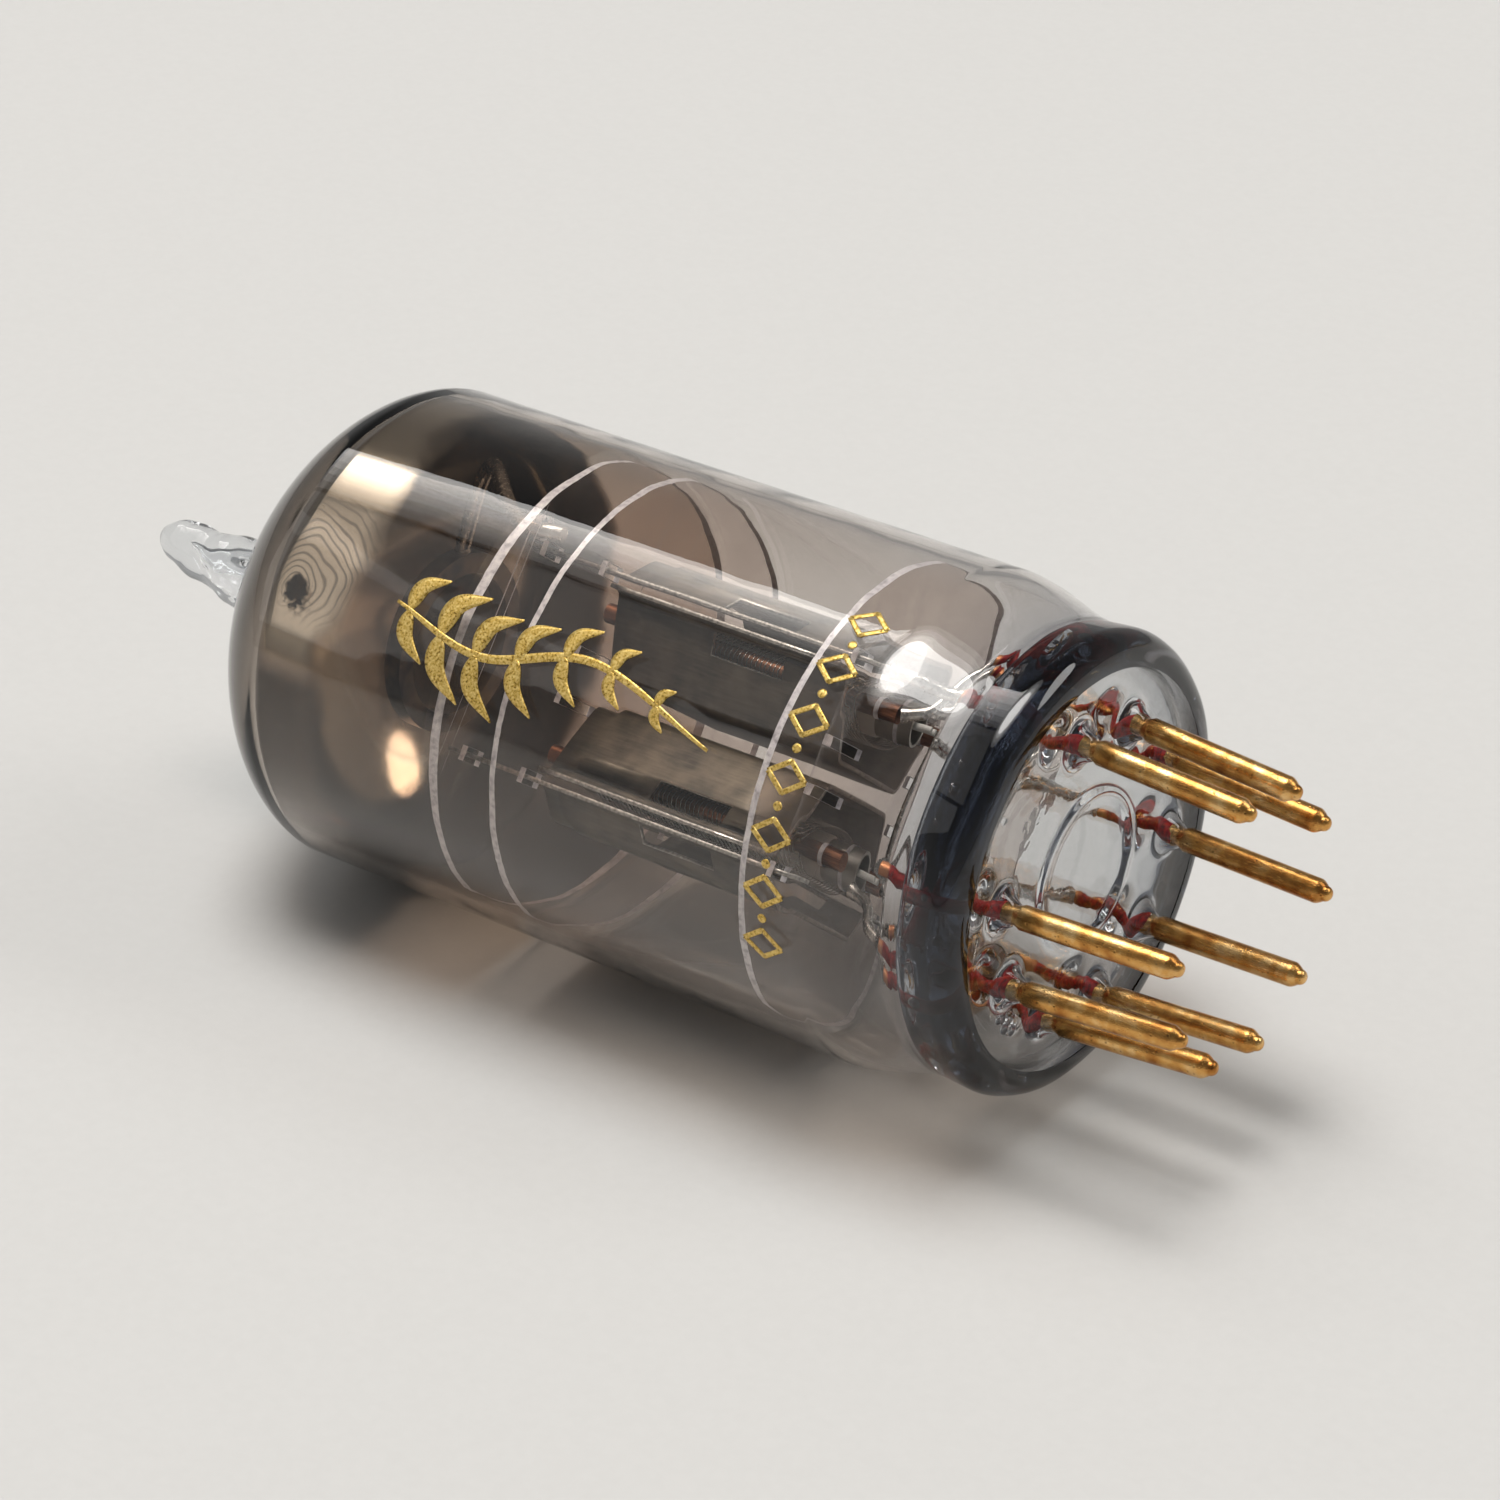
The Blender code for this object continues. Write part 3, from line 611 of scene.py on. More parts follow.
bm = bmesh.new()
sectors = 288
circles = 72
edges = []
for inner in (False, True):
    rings = [[bm.verts.new((stem_inner_x if inner else 0.0, 0.0, 0.0))]]
    for i in range(1, circles + 1):
        radius = stem_radius * i / circles
        ring = []
        for k in range(sectors):
            turn = math.tau * k / sectors
            y, z = radius * math.sin(turn), radius * math.cos(turn)
            rise = stem_height(y, z, inner)
            ring.append(bm.verts.new((stem_inner_x - rise if inner else rise, y, z)))
        rings.append(ring)
    join_rings(bm, rings)
    edges.append(rings[-1])
join_rings(bm, edges)
bm.transform(PINS)


def lamp_path(tree, glass, passed):
    """Glass that lets the lamps through to what is sealed inside it."""
    rays = add(tree, "LightPath")
    soft = add(tree, "Math", {"operation": 'MAXIMUM'},
               {0: rays.outputs["Is Shadow Ray"], 1: rays.outputs["Is Diffuse Ray"]})
    both = add(tree, "MixShader", links={0: soft, 1: glass, 2: passed})
    add(tree, "OutputMaterial", links={"Surface": both})


def wavy_glass(name, colour, ior, wave_size, strength, depth, thin):
    """Clear glass with waves in its skin; thin is the tint of the light that it lets past."""
    material, tree, place = fresh_material(name)
    wave = add(tree, "TexNoise", {"Scale": 1.0 / wave_size}, {"Vector": place})
    bump = add(tree, "Bump", {"Strength": strength, "Distance": depth}, {"Height": wave})
    glass = add(tree, "BsdfPrincipled", {"Base Color": linear(colour), "Roughness": 0.0, "IOR": ior,
                                         "Transmission Weight": 1.0}, {"Normal": bump})
    lamp_path(tree, glass, add(tree, "BsdfTransparent", {"Color": linear(thin)}))
    return material


# Pressed stem glass: clear, very slightly blue-grey, with a fire-polished wavy skin.
stem_glass = wavy_glass("pressed_stem_glass", "#DDE1E4", 1.52, 1.1 * mm, 0.15, 0.08 * mm, "#E6E9EB")

seeds = bmesh.new()
for x, y, z, size in ((-0.75, -6.9, 0.0, 0.28), (-0.85, -6.75, 0.62, 0.26),
                      (-0.7, -6.8, -0.58, 0.24), (-0.6, -6.3, 0.25, 0.2),
                      (-0.9, -6.35, -0.3, 0.18), (-1.1, 3.4, 4.2, 0.16), (-0.8, -2.0, -6.6, 0.15)):
    at = PINS @ Matrix.Translation((x * mm, y * mm, z * mm))
    bmesh.ops.create_icosphere(seeds, subdivisions=3, radius=size * mm, matrix=at)
button_stem = finish_mesh("button_stem", bm, stem_glass, sharp=60.0, hollows=seeds)
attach(button_stem, "root")
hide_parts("button_stem")


# ---- seal wires ---------------------------------------------------------------------
# Short lengths of copper-clad nickel iron, borated dark red so that the glass wets them.
# They buckle a little when the stem is pressed; past the glass the copper is bare.
seal_radius = 0.27 * mm
seal_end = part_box("seal_wire_1")[0].x

# Borated copper: deep red under the glass, turning to bare copper inside the tube.
dumet, tree, place = fresh_material("borated_copper_wire")
axes = add(tree, "SeparateXYZ", links={"Vector": place})
crust = add(tree, "TexNoise", {"Scale": 1.0 / (0.18 * mm), "Detail": 4.0}, {"Vector": place})
inwards = add(tree, "MapRange", {"From Min": -4.2 * mm, "From Max": -4.5 * mm},
              {"Value": axes.outputs["X"]})
red = add(tree, "ValToRGB", {"ramp": [(0.3, "#3A0606"), (0.5, "#780D0D"), (0.72, "#A51C18")]},
          {"Fac": crust})
tint = add(tree, "Mix", {"data_type": 'RGBA', 7: linear("#B9805A")}, {0: inwards, 6: red})
bump = add(tree, "Bump", {"Strength": 0.8, "Distance": 0.05 * mm}, {"Height": crust})
skin = add(tree, "BsdfPrincipled", {"Roughness": 0.5, "Specular IOR Level": 0.2},
           {"Base Color": tint.outputs[2], "Metallic": inwards, "Normal": bump})
add(tree, "OutputMaterial", links={"Surface": skin})

random.seed(9)
for number in range(1, 10):
    y, z = pin_at(number)
    bends = [(0.7 * mm, y, z), (0.1 * mm, y, z)]
    for x in (-1.2, -2.7):
        bends.append((x * mm, y + random.uniform(-0.5, 0.5) * mm,
                      z + random.uniform(-0.5, 0.5) * mm))
    bends += [(-4.0 * mm, y, z), (seal_end, y, z)]
    path = eased(bends, 8)
    sizes = [seal_radius * (1.0 + 0.22 * noise.noise((2200.0 * p.x, float(number), 0.0)))
             for p in path]
    bm = drawn_wire(path, sizes, 14)
    bm.transform(PINS)
    wire = finish_mesh("seal_wire_%d" % number, bm, dumet)
    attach(wire, "root")
    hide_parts("seal_wire_%d" % number)


# ---- pins ---------------------------------------------------------------------------
# Hard nickel wire, gold plated, with tumbled bullet ends.  Each stands in the neck of its
# glass boss and leans in a little towards the axis.
pin_radius = 0.508 * mm
pin_length = 6.97 * mm
pin_root = 0.9 * mm
pin_lean = math.radians(4.0)
bullet = ((0.66, 1.0), (0.60, 0.985), (0.54, 0.94), (0.38, 0.76), (0.33, 0.68), (0.28, 0.63),
          (0.2, 0.6), (0.12, 0.52), (0.06, 0.4), (0.02, 0.22), (0.0, 0.0))

# Gold plate over drawn wire: rich yellow, orange in the shade, with die lines along the
# pin, tiny pits and a worn patch here and there.
gold, tree, place = fresh_material("gold_plate_on_drawn_wire")
lines = add(tree, "Mapping", {"Scale": (0.06, 1.0, 1.0)}, {"Vector": place})
die = add(tree, "TexNoise", {"Scale": 1.0 / (0.06 * mm), "Detail": 3.0}, {"Vector": lines})
worn = add(tree, "TexNoise", {"Scale": 1.0 / (0.8 * mm), "Detail": 5.0}, {"Vector": place})
pits = add(tree, "TexVoronoi", {"Scale": 1.0 / (0.28 * mm)}, {"Vector": place})
pitted = add(tree, "MapRange", {"From Min": 0.05, "From Max": 0.22}, {"Value": pits})
tint = add(tree, "ValToRGB", {"ramp": [(0.3, "#A86D34"), (0.5, "#D6A15A"), (0.72, "#F2CE92")]},
           {"Fac": worn})
dark = add(tree, "Mix", {"data_type": 'RGBA', "blend_type": 'MULTIPLY', 0: 0.55},
           {6: tint, 7: pitted})
tooth = add(tree, "TexNoise", {"Scale": 1.0 / (0.045 * mm), "Detail": 3.0}, {"Vector": place})
height = add(tree, "Math", {"operation": 'MULTIPLY_ADD', 1: 0.9}, {0: tooth, 2: pitted})
bump = add(tree, "Bump", {"Strength": 0.5, "Distance": 0.02 * mm}, {"Height": height})
gloss = add(tree, "MapRange", {"To Min": 0.14, "To Max": 0.34}, {"Value": die})
skin = add(tree, "BsdfPrincipled", {"Metallic": 1.0},
           {"Base Color": dark.outputs[2], "Roughness": gloss, "Normal": bump})
add(tree, "OutputMaterial", links={"Surface": skin})

for number in range(1, 10):
    y, z = pin_at(number)
    profile = [(-0.75 * mm, 0.0), (-0.75 * mm, 0.30 * mm), (-0.35 * mm, 0.34 * mm),
               (0.0, 0.44 * mm), (0.12 * mm, pin_radius)]
    profile += [(pin_length * t, pin_radius) for t in (0.2, 0.4, 0.6, 0.8)]
    profile += [(pin_length - back * mm, pin_radius * share) for back, share in bullet]
    bm = turned(profile, 40)
    lean = Vector((math.cos(pin_lean), -math.sin(pin_lean) * y / pin_circle,
                   -math.sin(pin_lean) * z / pin_circle))
    turn = Vector((1.0, 0.0, 0.0)).rotation_difference(lean).to_matrix().to_4x4()
    bm.transform(PINS @ Matrix.Translation((pin_root, y, z)) @ turn)
    pin = finish_mesh("pin_%d" % number, bm, gold, sharp=50.0)
    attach(pin, "root")
    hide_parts("pin_%d" % number)


# ---- leads --------------------------------------------------------------------------
# Nickel wires spot welded to the seal wires at one end and to a tab, rod, sleeve or heater
# at the other.  The welds leave small flattened beads.
lead_radius = 0.27 * mm
beside = 1.55 * mm
lead_ends = {
    1: (tab_end + 0.1 * mm, SEAM_Y + 0.2 * mm, tab_z),
    2: (rod_end + 0.1 * mm, UNIT_Y, rod_offset),
    3: (sleeve_end + 0.2 * mm, UNIT_Y + 0.5 * beside, -0.75 * beside),
    4: (heater_end + 0.1 * mm, UNIT_Y - 0.4 * mm, -0.45 * mm),
    5: (heater_end + 0.1 * mm, -UNIT_Y + 0.4 * mm, -0.45 * mm),
    6: (tab_end + 0.1 * mm, -SEAM_Y - 0.2 * mm, -tab_z),
    7: (rod_end + 0.1 * mm, -UNIT_Y, -rod_offset),
    8: (sleeve_end + 0.2 * mm, -UNIT_Y - 0.5 * beside, 0.75 * beside),
    9: (heater_end + 1.0 * mm, -UNIT_Y + 0.4 * mm, 0.5 * mm),
}
for number, end in lead_ends.items():
    y, z = pin_at(number)
    start = Vector((seal_end + 0.1 * mm, y, z))
    stop = PINS.inverted() @ CAGE @ Vector(end)
    bend = start.lerp(stop, 0.25)
    bend.x = 0.65 * start.x + 0.35 * stop.x
    second = start.lerp(stop, 0.8)
    second.x = 0.4 * start.x + 0.6 * stop.x
    path = eased([start, bend, second, stop], 10)
    sizes = []
    for i in range(len(path)):
        t = i / (len(path) - 1)
        beads = 0.45 * math.exp(-(t / 0.06) ** 2) + 0.3 * math.exp(-((1 - t) / 0.06) ** 2)
        sizes.append(lead_radius * (1.0 + beads))
    bm = drawn_wire(path, sizes, 14)
    bm.transform(PINS)
    lead = finish_mesh("lead_%d" % number, bm, nickel)
    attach(lead, "root")
    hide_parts("lead_%d" % number)

link_x = heater_end + 0.5 * mm
bm = drawn_wire(eased([(link_x, UNIT_Y, heater_spread), (link_x, 0.3 * UNIT_Y, 0.7 * mm),
                       (link_x, -0.3 * UNIT_Y, 0.7 * mm), (link_x, -UNIT_Y, heater_spread)]),
                0.2 * mm, 12)
bm.transform(CAGE)
heater_link = finish_mesh("heater_link", bm, nickel)
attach(heater_link, "root")
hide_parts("heater_link")


# ---- bulb ---------------------------------------------------------------------------
# Blown soft glass.  The open end is melted down on to the stem, which leaves a sloped
# shoulder, a waist and a thick rolled rim with a few trapped bubbles.
bulb_radius = 10.3 * mm
bulb_wall = 0.55 * mm
dome_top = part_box("bulb")[0].x
dome_height = 6.3 * mm
dome_power = 1.6
shoulder_x = -6.8 * mm
neck_x = -2.3 * mm
neck_radius = 9.4 * mm
rim_end_x = 0.1 * mm
rim_corner = 1.1 * mm
rim_bulge = 0.1 * mm                # how far the rim stands out past the waist
bubbles = 44
bulb_sides = 224
mouth = 8.2 * mm
wall_stations = [x * mm for x in (-28, -22, -16, -10)]


def dome(top, radius, height, count):
    """Outline of the dome from the axis out to the straight wall."""
    points = []
    for i in range(count + 1):
        turn = 0.5 * math.pi * i / count
        points.append((top + height - height * math.cos(turn) ** (2.0 / dome_power),
                       radius * math.sin(turn) ** (2.0 / dome_power)))
    return points


def shoulder(t):
    """A point of the sloped shoulder: 0 at the straight wall, 1 at the waist."""
    drop = (bulb_radius - neck_radius) * 0.5 * (1.0 - math.cos(math.pi * t))
    return shoulder_x + (neck_x - shoulder_x) * t, bulb_radius - drop


def bulb_inside(count=60):
    """Inner outline of the bulb, from the dome to the stem."""
    points = dome(dome_top + bulb_wall, bulb_radius - bulb_wall, dome_height - 0.3 * bulb_wall,
                  count)
    points += [(x, bulb_radius - bulb_wall) for x in wall_stations]
    for i in range(25):
        t = 0.78 * i / 24.0
        x, radius = shoulder(t)
        points.append((x, radius - bulb_wall - 0.45 * mm * t * t))
    return points + [(stem_inner_x - 0.35 * mm, 8.42 * mm), (stem_inner_x - 0.1 * mm, mouth)]


outer = dome(dome_top, bulb_radius, dome_height, 72)
outer += [(x, bulb_radius) for x in wall_stations]
outer += [shoulder(i / 36.0) for i in range(37)]
for i in range(13):
    turn = math.radians(90.0 - 7.5 * i)
    outer.append((rim_end_x - rim_corner + rim_corner * math.cos(turn),
                  neck_radius + rim_bulge - rim_corner + rim_corner * math.sin(turn)))
bm = turned(outer + [(rim_end_x, mouth)] + bulb_inside()[::-1], bulb_sides)
for vert in bm.verts:
    near_rim = min(max((vert.co.x + 8.0 * mm) / (4.0 * mm), 0.0), 1.0)
    if near_rim > 0.0 and math.hypot(vert.co.y, vert.co.z) > 8.6 * mm:
        push = 0.09 * mm * near_rim * noise.noise(vert.co * 300.0)
        vert.co += Vector((0.0, vert.co.y, vert.co.z)).normalized() * push

random.seed(4)
seeds = bmesh.new()
for i in range(bubbles):
    turn = math.tau * (i + random.uniform(-0.3, 0.3)) / bubbles
    size = random.choice((0.07, 0.1, 0.14, 0.2, 0.26)) * mm
    radius = random.uniform(8.78, 8.98) * mm
    at = Matrix.Translation((random.uniform(-1.9, -0.6) * mm, radius * math.cos(turn),
                             radius * math.sin(turn)))
    bmesh.ops.create_icosphere(seeds, subdivisions=3, radius=size, matrix=at)

# Blown soda-lime glass: colourless by itself, smoked dark brown over the dome, and blue-black
# where the rim is thick.
bulb_glass, tree, place = fresh_material("blown_bulb_glass")
axes = add(tree, "SeparateXYZ", links={"Vector": place})
along = add(tree, "MapRange", {"From Min": -40.0 * mm, "From Max": 0.0},
            {"Value": axes.outputs["X"]})
tint = add(tree, "ValToRGB",
           {"ramp": [(0.0, "#26211D"), (0.1, "#453E37"), (0.135, "#857C72"), (0.165, "#EEE9E4"),
                     (0.6, "#F4F0ED"), (0.85, "#F8F8F8"), (0.945, "#DDE1E7"), (0.966, "#4C5669"),
                     (1.0, "#3B4353")]},
           {"Fac": along})
wave = add(tree, "TexNoise", {"Scale": 1.0 / (4.0 * mm), "Detail": 1.0}, {"Vector": place})
bump = add(tree, "Bump", {"Strength": 0.2, "Distance": 0.15 * mm}, {"Height": wave})
glass = add(tree, "BsdfPrincipled", {"Roughness": 0.0, "IOR": 1.51, "Transmission Weight": 1.0},
            {"Base Color": tint, "Normal": bump})
passed = add(tree, "BsdfTransparent", {"Color": linear("#F4F2F0")})
lamp_path(tree, glass, passed)
depth = add(tree, "VolumeAbsorption", {"Color": linear("#956C30"), "Density": 190.0})
tree.links.new(depth.outputs[0], tree.nodes["Material Output"].inputs["Volume"])

bulb = finish_mesh("bulb", bm, bulb_glass, sharp=75.0, hollows=seeds)
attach(bulb, "root")
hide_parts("bulb")


# ---- exhaust tip --------------------------------------------------------------------
# The air was pumped out through a thin tube on the dome.  A flame melted it shut, and the
# glass froze as a lumpy clear pip that hangs a little to one side, with the last of the
# bore still open inside it.
tip_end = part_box("exhaust_tip")[0].x
tip_start = dome_top + 0.25 * mm
outline = [(0.0, 2.5), (0.3, 2.1), (0.8, 1.85), (1.6, 1.72), (2.6, 1.66), (3.6, 1.55), (4.4, 1.3),
           (5.0, 1.12), (5.8, 1.15), (6.6, 1.1), (7.2, 0.92), (7.7, 0.62), (8.0, 0.3)]
length = tip_start - tip_end
profile = [(tip_start, 0.0)]
for point in eased([(x, r, 0.0) for x, r in outline], 5):
    profile.append((tip_start - length * point.x / 8.15, point.y * mm))
profile.append((tip_end, 0.0))
bm = turned(profile, 72)
bore = [(0.45, 0.0), (0.5, 0.6), (1.0, 0.8), (2.0, 0.78), (3.0, 0.62), (4.0, 0.4), (5.2, 0.22),
        (6.1, 0.1), (6.3, 0.0)]
bore = turned([(tip_start - x * mm, r * mm) for x, r in bore], 40)
for vert in list(bm.verts) + list(bore.verts):
    t = min(max((tip_start - vert.co.x) / length, 0.0), 1.0)
    lump = 1.0 + 0.20 * min(4.0 * t, 1.0) * noise.noise(vert.co * 480.0 + Vector((3.0, 1.0, 2.0)))
    lump += 0.10 * min(4.0 * t, 1.0) * noise.noise(vert.co * 1100.0)
    vert.co.y *= lump
    vert.co.z = vert.co.z * lump - 0.45 * mm * math.sin(math.pi * min(1.0, 1.2 * t)) + 0.1 * mm * t

# Flame-melted glass: water clear, with the same soft skin as the stem.
tip_glass = wavy_glass("flame_melted_glass", "#ECEEF0", 1.51, 1.5 * mm, 0.3, 0.12 * mm, "#EDEFF0")
exhaust_tip = finish_mesh("exhaust_tip", bm, tip_glass, sharp=70.0, hollows=bore)
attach(exhaust_tip, "root")
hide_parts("exhaust_tip")


# ---- getter mirror ------------------------------------------------------------------
# Barium flashed from the ring and condensed on the cold dome as a metal film.  It is a bright
# mirror where it is thick, straw brown and ringed where it thins out, and gone near the top mica.
# Its colour is lighter towards the crown, with a painted highlight on its upper side and painted
# shade lower down.
film = 0.02 * mm
film_end = -25.0 * mm
hole_centre = (-32.9 * mm, -8.0 * mm, 5.6 * mm)
fringe_centre = (-31.9 * mm, -7.2 * mm, 6.6 * mm)
fringe_pitch = 0.32 * mm            # spacing of the interference rings
skin_out = [(x, r) for x, r in bulb_inside() if x < -24.5 * mm]
skin_in = [(x + 0.01 * mm, max(r - film, 0.0)) for x, r in skin_out]
skin_out = [(x + 0.005 * mm, max(r - 0.3 * film, 0.0)) for x, r in skin_out]
outline = skin_out + [(film_end, skin_out[-1][1]), (film_end, skin_in[-1][1])] + skin_in[::-1]
bm = turned(outline, 160)

mirror, tree, place = fresh_material("flashed_barium_mirror_and_painted_light")
axes = add(tree, "SeparateXYZ", links={"Vector": place})
cloud = add(tree, "TexNoise", {"Scale": 1.0 / (6.0 * mm), "Detail": 3.0}, {"Vector": place})
wander = add(tree, "MapRange",
             {"From Min": 0.3, "From Max": 0.7, "To Min": -0.9 * mm, "To Max": 0.9 * mm},
             {"Value": cloud})
edge = add(tree, "Math", {"operation": 'ADD'}, {0: axes.outputs["X"], 1: wander})
thick = add(tree, "MapRange",
            {"From Min": -29.9 * mm, "From Max": -31.3 * mm, "interpolation_type": 'SMOOTHSTEP'},
            {"Value": edge})
hole_at = add(tree, "VectorMath", {"operation": 'DISTANCE', 1: hole_centre}, {0: place})
speck = add(tree, "TexNoise", {"Scale": 1.0 / (0.22 * mm), "Detail": 4.0}, {"Vector": place})
rough_hole = add(tree, "Math", {"operation": 'MULTIPLY_ADD', 1: 0.7 * mm, 2: -0.35 * mm},
                 {0: speck})
lean = add(tree, "VectorMath", {"operation": 'DOT_PRODUCT', 1: (-0.55, 0.3, 0.75)}, {0: place})
taper = add(tree, "MapRange",
            {"From Min": 18.6 * mm, "From Max": 21.0 * mm, "To Min": -0.6 * mm, "To Max": 0.8 * mm},
            {"Value": lean.outputs["Value"]})
wedge = add(tree, "Math", {"operation": 'ADD'}, {0: hole_at.outputs["Value"], 1: taper})
hole_edge = add(tree, "Math", {"operation": 'ADD'}, {0: wedge, 1: rough_hole})
kept = add(tree, "MapRange", {"From Min": 0.55 * mm, "From Max": 0.75 * mm}, {"Value": hole_edge})
cover = add(tree, "Math", {"operation": 'MULTIPLY'}, {0: thick, 1: kept})
warp = add(tree, "TexNoise", {"Scale": 1.0 / (2.6 * mm), "Detail": 1.5}, {"Vector": place})
level = add(tree, "Math", {"operation": 'MULTIPLY_ADD', 1: 2.2 * mm},
            {0: warp, 2: hole_at.outputs["Value"]})
turns = add(tree, "Math", {"operation": 'MULTIPLY', 1: math.tau / fringe_pitch}, {0: level})
waves = add(tree, "Math", {"operation": 'SINE'}, {0: turns})
near = add(tree, "VectorMath", {"operation": 'DISTANCE', 1: fringe_centre}, {0: place})
patch = add(tree, "MapRange", {"From Min": 2.9 * mm, "From Max": 1.6 * mm},
            {"Value": near.outputs["Value"]})
lines = add(tree, "MapRange", {"From Min": 0.3, "From Max": 0.95, "To Max": 0.55}, {"Value": waves})
fringe = add(tree, "Math", {"operation": 'MULTIPLY'}, {0: lines, 1: patch})
# Painted top light: the film's colour is made lighter as it rises from 2 to 4 mm above the axis, a
# painted highlight, and stays darker lower down as painted shade; it is also lighter towards the
# crown.
painted_top_light = add(tree, "MapRange", {"From Min": 2.0 * mm, "From Max": 4.0 * mm},
            {"Value": axes.outputs["Z"]})
crown = add(tree, "MapRange", {"From Min": -34.6 * mm, "From Max": -35.6 * mm},
            {"Value": axes.outputs["X"]})
crown_and_painted_top_light = add(tree, "Math", {"operation": 'MAXIMUM'}, {0: painted_top_light, 1: crown})
film_tone_and_painted_light = add(tree, "Math", {"operation": 'MULTIPLY_ADD', 1: 0.35}, {0: cloud, 2: crown_and_painted_top_light})
# The film's colour, which carries the painted highlight on top and the painted shade below.
film_colour_and_painted_light = add(tree, "ValToRGB", {"ramp": [(0.15, "#3D342C"), (0.5, "#96887A"), (1.0, "#E2D8C6")]},
            {"Fac": film_tone_and_painted_light})
tint = add(tree, "Mix", {"data_type": 'RGBA', 7: linear("#4A3D30")}, {0: fringe, 6: film_colour_and_painted_light})
shine = add(tree, "BsdfPrincipled", {"Metallic": 1.0, "Roughness": 0.12},
            {"Base Color": tint.outputs[2]})
stain = add(tree, "Mix", {"data_type": 'RGBA', 6: linear("#F4EFEA"), 7: linear("#A58E78")},
            {0: cover})
clear = add(tree, "BsdfTransparent", links={"Color": stain.outputs[2]})
both = add(tree, "MixShader", links={0: cover, 1: clear, 2: shine})
add(tree, "OutputMaterial", links={"Surface": both})
getter_mirror = finish_mesh("getter_mirror", bm, mirror, sharp=80.0)
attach(getter_mirror, "root")


# ---- gold decoration ----------------------------------------------------------------
# A plain leafy sprig and a row of lozenges and dots, brushed on the bulb in bright gold and
# fired.  The print is a few hundredths of a millimetre thick, with pinholes.
print_height = 0.02 * mm
lozenges = 7


def on_bulb(x, arc):
    """A point of the print: x along the bulb, arc round it from the front, both in mm."""
    turn = arc * mm / bulb_radius
    radius = bulb_radius + 0.012 * mm
    return Vector((x * mm, -radius * math.cos(turn), radius * math.sin(turn)))


def stroke(bm, path, widths):
    """One stroke of the print, with a width at each point, laid on the bulb."""
    rows = []
    for i, point in enumerate(path):
        before, after = path[max(i - 1, 0)], path[min(i + 1, len(path) - 1)]
        along = (after - before).normalized()
        side = Vector((-along.y, along.x, 0.0)) * 0.5 * widths[i]
        rows.append([bm.verts.new(on_bulb(*(point + side * s).xy)) for s in (-1.0, -0.4, 0.4, 1.0)])
    for low, high in zip(rows, rows[1:]):
        for k in range(3):
            bm.faces.new((low[k], low[k + 1], high[k + 1], high[k]))


bm = bmesh.new()
spine = eased([(-27.6, 7.0, 0.0), (-23.0, 6.0, 0.0), (-17.8, 7.3, 0.0), (-11.6, 5.6, 0.0)], 20)
last = len(spine)
stroke(bm, spine, [0.12 + 0.26 * math.sin(math.pi * (i + 1) / (last + 1)) for i in range(last)])
leaves = ((1.9, 0.7), (2.4, 0.85), (2.3, 0.75), (2.0, 0.7), (1.7, 0.6), (1.3, 0.5), (0.9, 0.4))
for i, (spread, fat) in enumerate(leaves):
    root = spine[3 + 8 * i]
    for way in (-1.0, 1.0):
        tip = root + Vector((0.7 * spread, way * spread * (1.0 if way < 0 else 0.85), 0.0))
        leaf = eased([root, root + Vector((0.12 * spread, way * 0.55 * spread, 0.0)), tip], 10)
        last = len(leaf) - 1
        stroke(bm, leaf,
               [0.07 + fat * math.sin(math.pi * (k / last) ** 0.7) for k in range(last + 1)])
for i in range(lozenges):
    arc = 12.6 - 2.3 * i
    corners = [Vector((-7.9 + 0.85 * a, arc + 0.62 * b, 0.0))
               for a, b in ((-1, 0), (0, 1), (1, 0), (0, -1))]
    for a, b in zip(corners, corners[1:] + corners[:1]):
        stroke(bm, [a.lerp(b, k / 5.0 * 1.06 - 0.03) for k in range(6)], [0.22] * 6)
    if i < lozenges - 1:
        dot = [Vector((-8.1 + 0.08 * k, arc - 1.15, 0.0)) for k in range(6)]
        stroke(bm, dot, [0.1, 0.3, 0.38, 0.38, 0.3, 0.1])

# Fired bright gold: pale yellow metal, slightly matt, with pinholes.
ink = grained("fired_bright_gold", 0.1 * mm,
              [(0.32, "#6E5626"), (0.42, "#C9A44C"), (0.7, "#F0D68C")],
              {"Metallic": 0.75, "Roughness": 0.42}, detail=3.0, relief=(0.3, 0.01 * mm))
gold_print = finish_mesh("gold_print", bm, ink)
thicken = gold_print.modifiers.new("print", 'SOLIDIFY')
thicken.thickness = print_height
thicken.offset = 1.0
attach(gold_print, "root")


# ---- table, lamps and camera --------------------------------------------------------
# The tube lies on a plain pale table.  An oval lamp with a soft edge hangs overhead, a row of
# strips fades out towards the front, and a weaker oval lamp and two cards fill in.
bm = bmesh.new()
bmesh.ops.create_grid(bm, x_segments=1, y_segments=1, size=3.0)
bmesh.ops.translate(bm, verts=bm.verts, vec=(0.0, 0.0, cad_low.z))

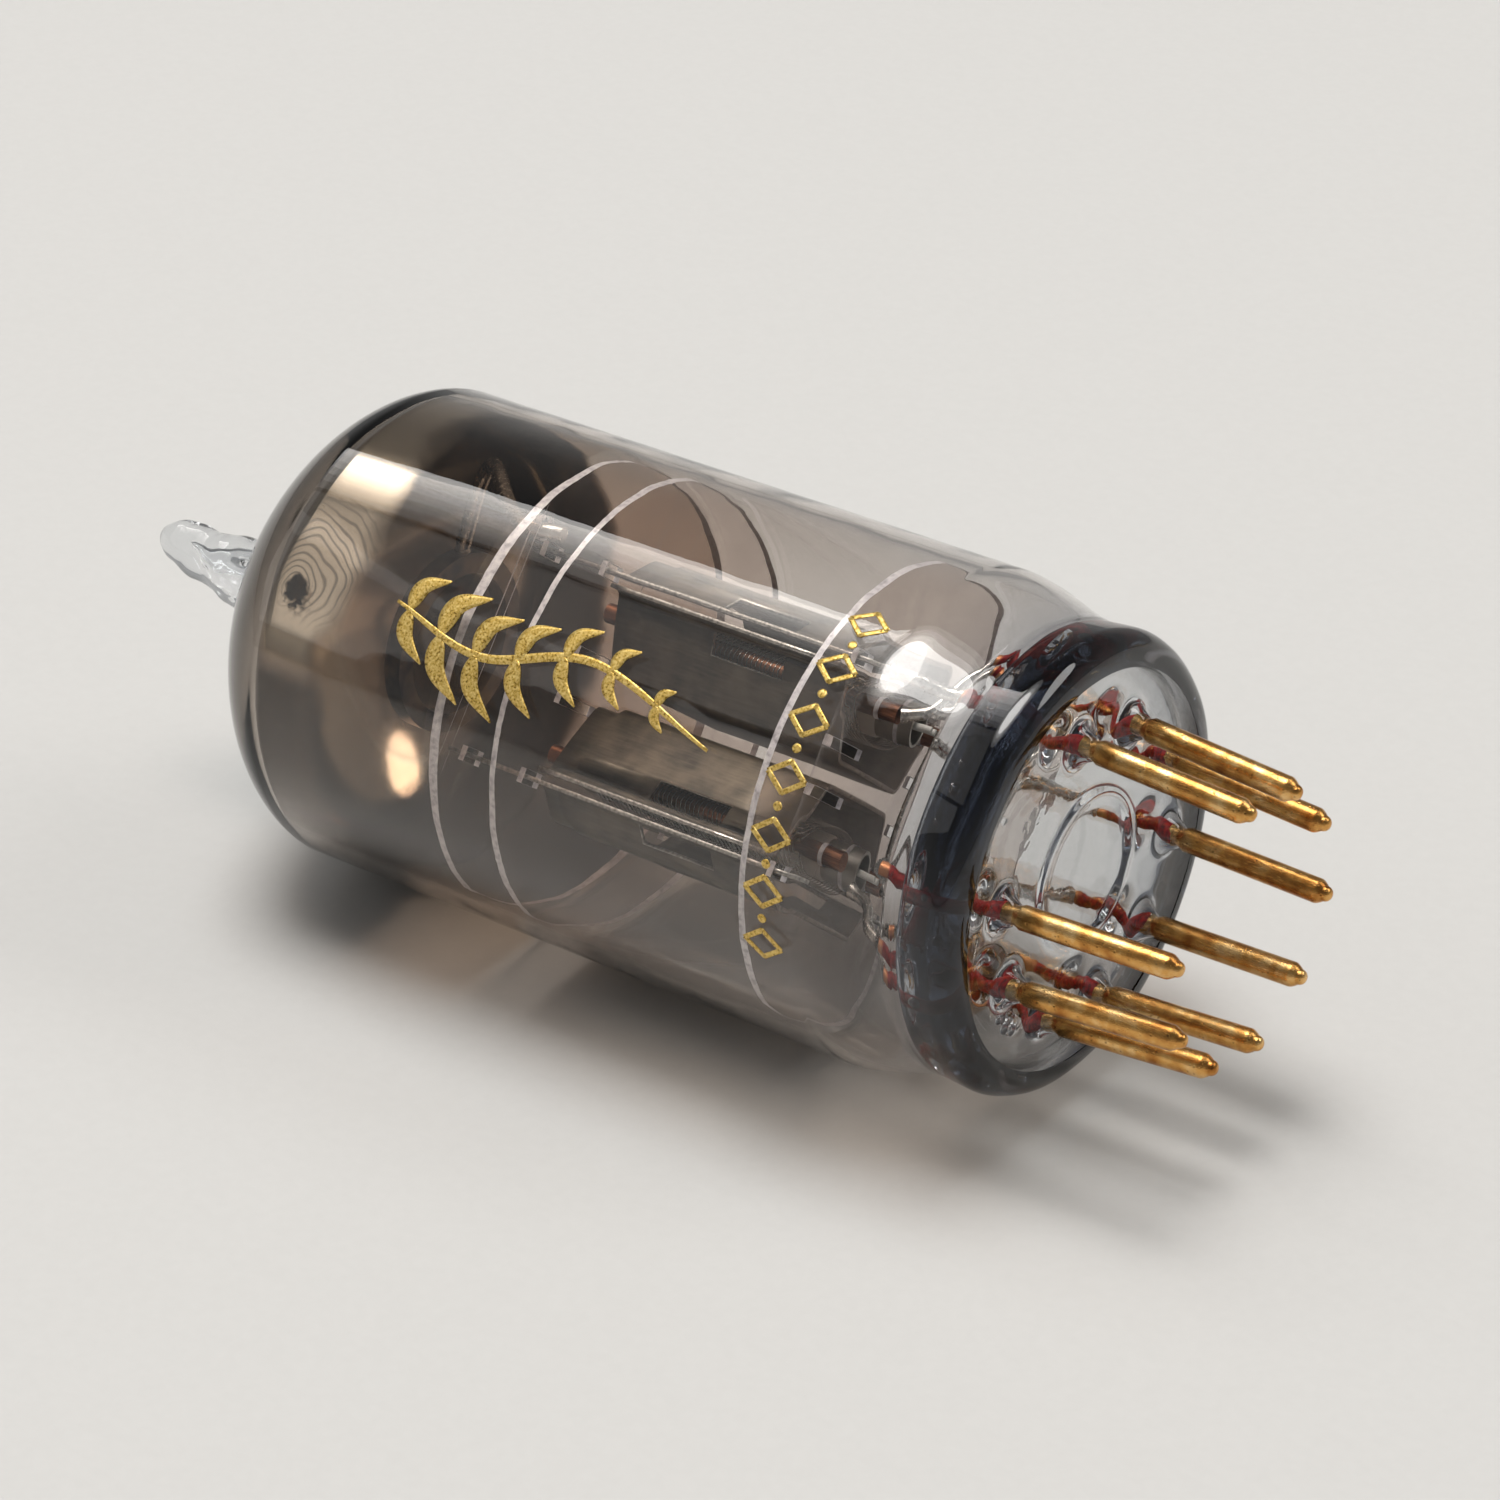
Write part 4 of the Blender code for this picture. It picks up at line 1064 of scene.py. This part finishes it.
# Matt laminate: pale warm grey with a barely visible tooth.
laminate = grained("matt_pale_laminate", 0.5 * mm, [(0.3, "#BCBBB9"), (0.7, "#BEBDBB")],
                   {"Roughness": 0.55, "Specular IOR Level": 0.3}, detail=3.0)
table = finish_mesh("table", bm, laminate)
table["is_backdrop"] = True


def softbox(name, at, width, depth, glow, turn=0.0, shape='RECTANGLE'):
    """A flat lamp with a given brightness of its face, straight down or turned about Y.

    The lamps stand a metre up, far enough for only their directions to matter.
    """
    lamp = bpy.data.lights.new(name, 'AREA')
    lamp.shape = shape
    lamp.size = width
    lamp.size_y = depth
    filled = 0.25 * math.pi if shape == 'ELLIPSE' else 1.0      # share of the rectangle
    lamp.energy = glow * math.pi * width * depth * filled
    lamp.color = linear("#FFFDFA")[:3]
    holder = bpy.data.objects.new(name, lamp)
    holder.location = at
    holder.rotation_euler = (0.0, math.radians(turn), 0.0)
    bpy.context.scene.collection.objects.link(holder)


for step, (size, glow) in enumerate(((0.44, 12.6), (0.54, 4.2), (0.64, 2.1), (0.74, 1.1))):
    softbox("overhead_softbox_%d" % step, (-0.12, 0.02, 1.0), size, 1.15 * size, glow,
            shape='ELLIPSE')
for step, glow in enumerate((5.2, 4.2, 3.2, 2.2, 1.3, 0.7)):
    softbox("side_softbox_%d" % step, (-0.70, 0.30 - 0.08 * step, 1.0), 0.64, 0.08, glow)
softbox("ceiling_card", (-0.70, -0.58, 1.0), 0.64, 0.80, 0.45)
softbox("left_card", (-1.2, -0.95, 0.80), 1.0, 1.2, 0.55, -90.0)
softbox("right_softbox", (0.90, 0.72, 1.0), 1.10, 0.52, 5.0, shape='ELLIPSE')

world = bpy.data.worlds.new("room")
world.use_nodes = True
tree = world.node_tree
tree.nodes.clear()
look = add(tree, "TexCoord")
axes = add(tree, "SeparateXYZ", links={"Vector": look.outputs["Generated"]})
sky = add(tree, "ValToRGB",
          {"ramp": [(0.0, "#B4B4B3"), (0.2, "#A4A4A3"), (0.5, "#7C7C7C"), (1.0, "#606060")]},
          {"Fac": axes.outputs["Z"]})
glow = add(tree, "Background", {"Strength": 0.8}, {"Color": sky})
add(tree, "OutputWorld", links={"Surface": glow})
bpy.context.scene.world = world

bpy.context.scene.view_settings.view_transform = 'Standard'
camera = bpy.data.objects.new("camera", bpy.data.cameras.new("camera"))
camera.data.lens = 120.0
camera.data.sensor_width = 36.0
camera.data.clip_start = 0.01
camera.location = (0.0890, -0.1411, 0.0979)
camera.rotation_euler = Vector((-0.5221, 0.7006, -0.4865)).to_track_quat('-Z', 'Y').to_euler()
bpy.context.scene.collection.objects.link(camera)
bpy.context.scene.camera = camera

low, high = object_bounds()
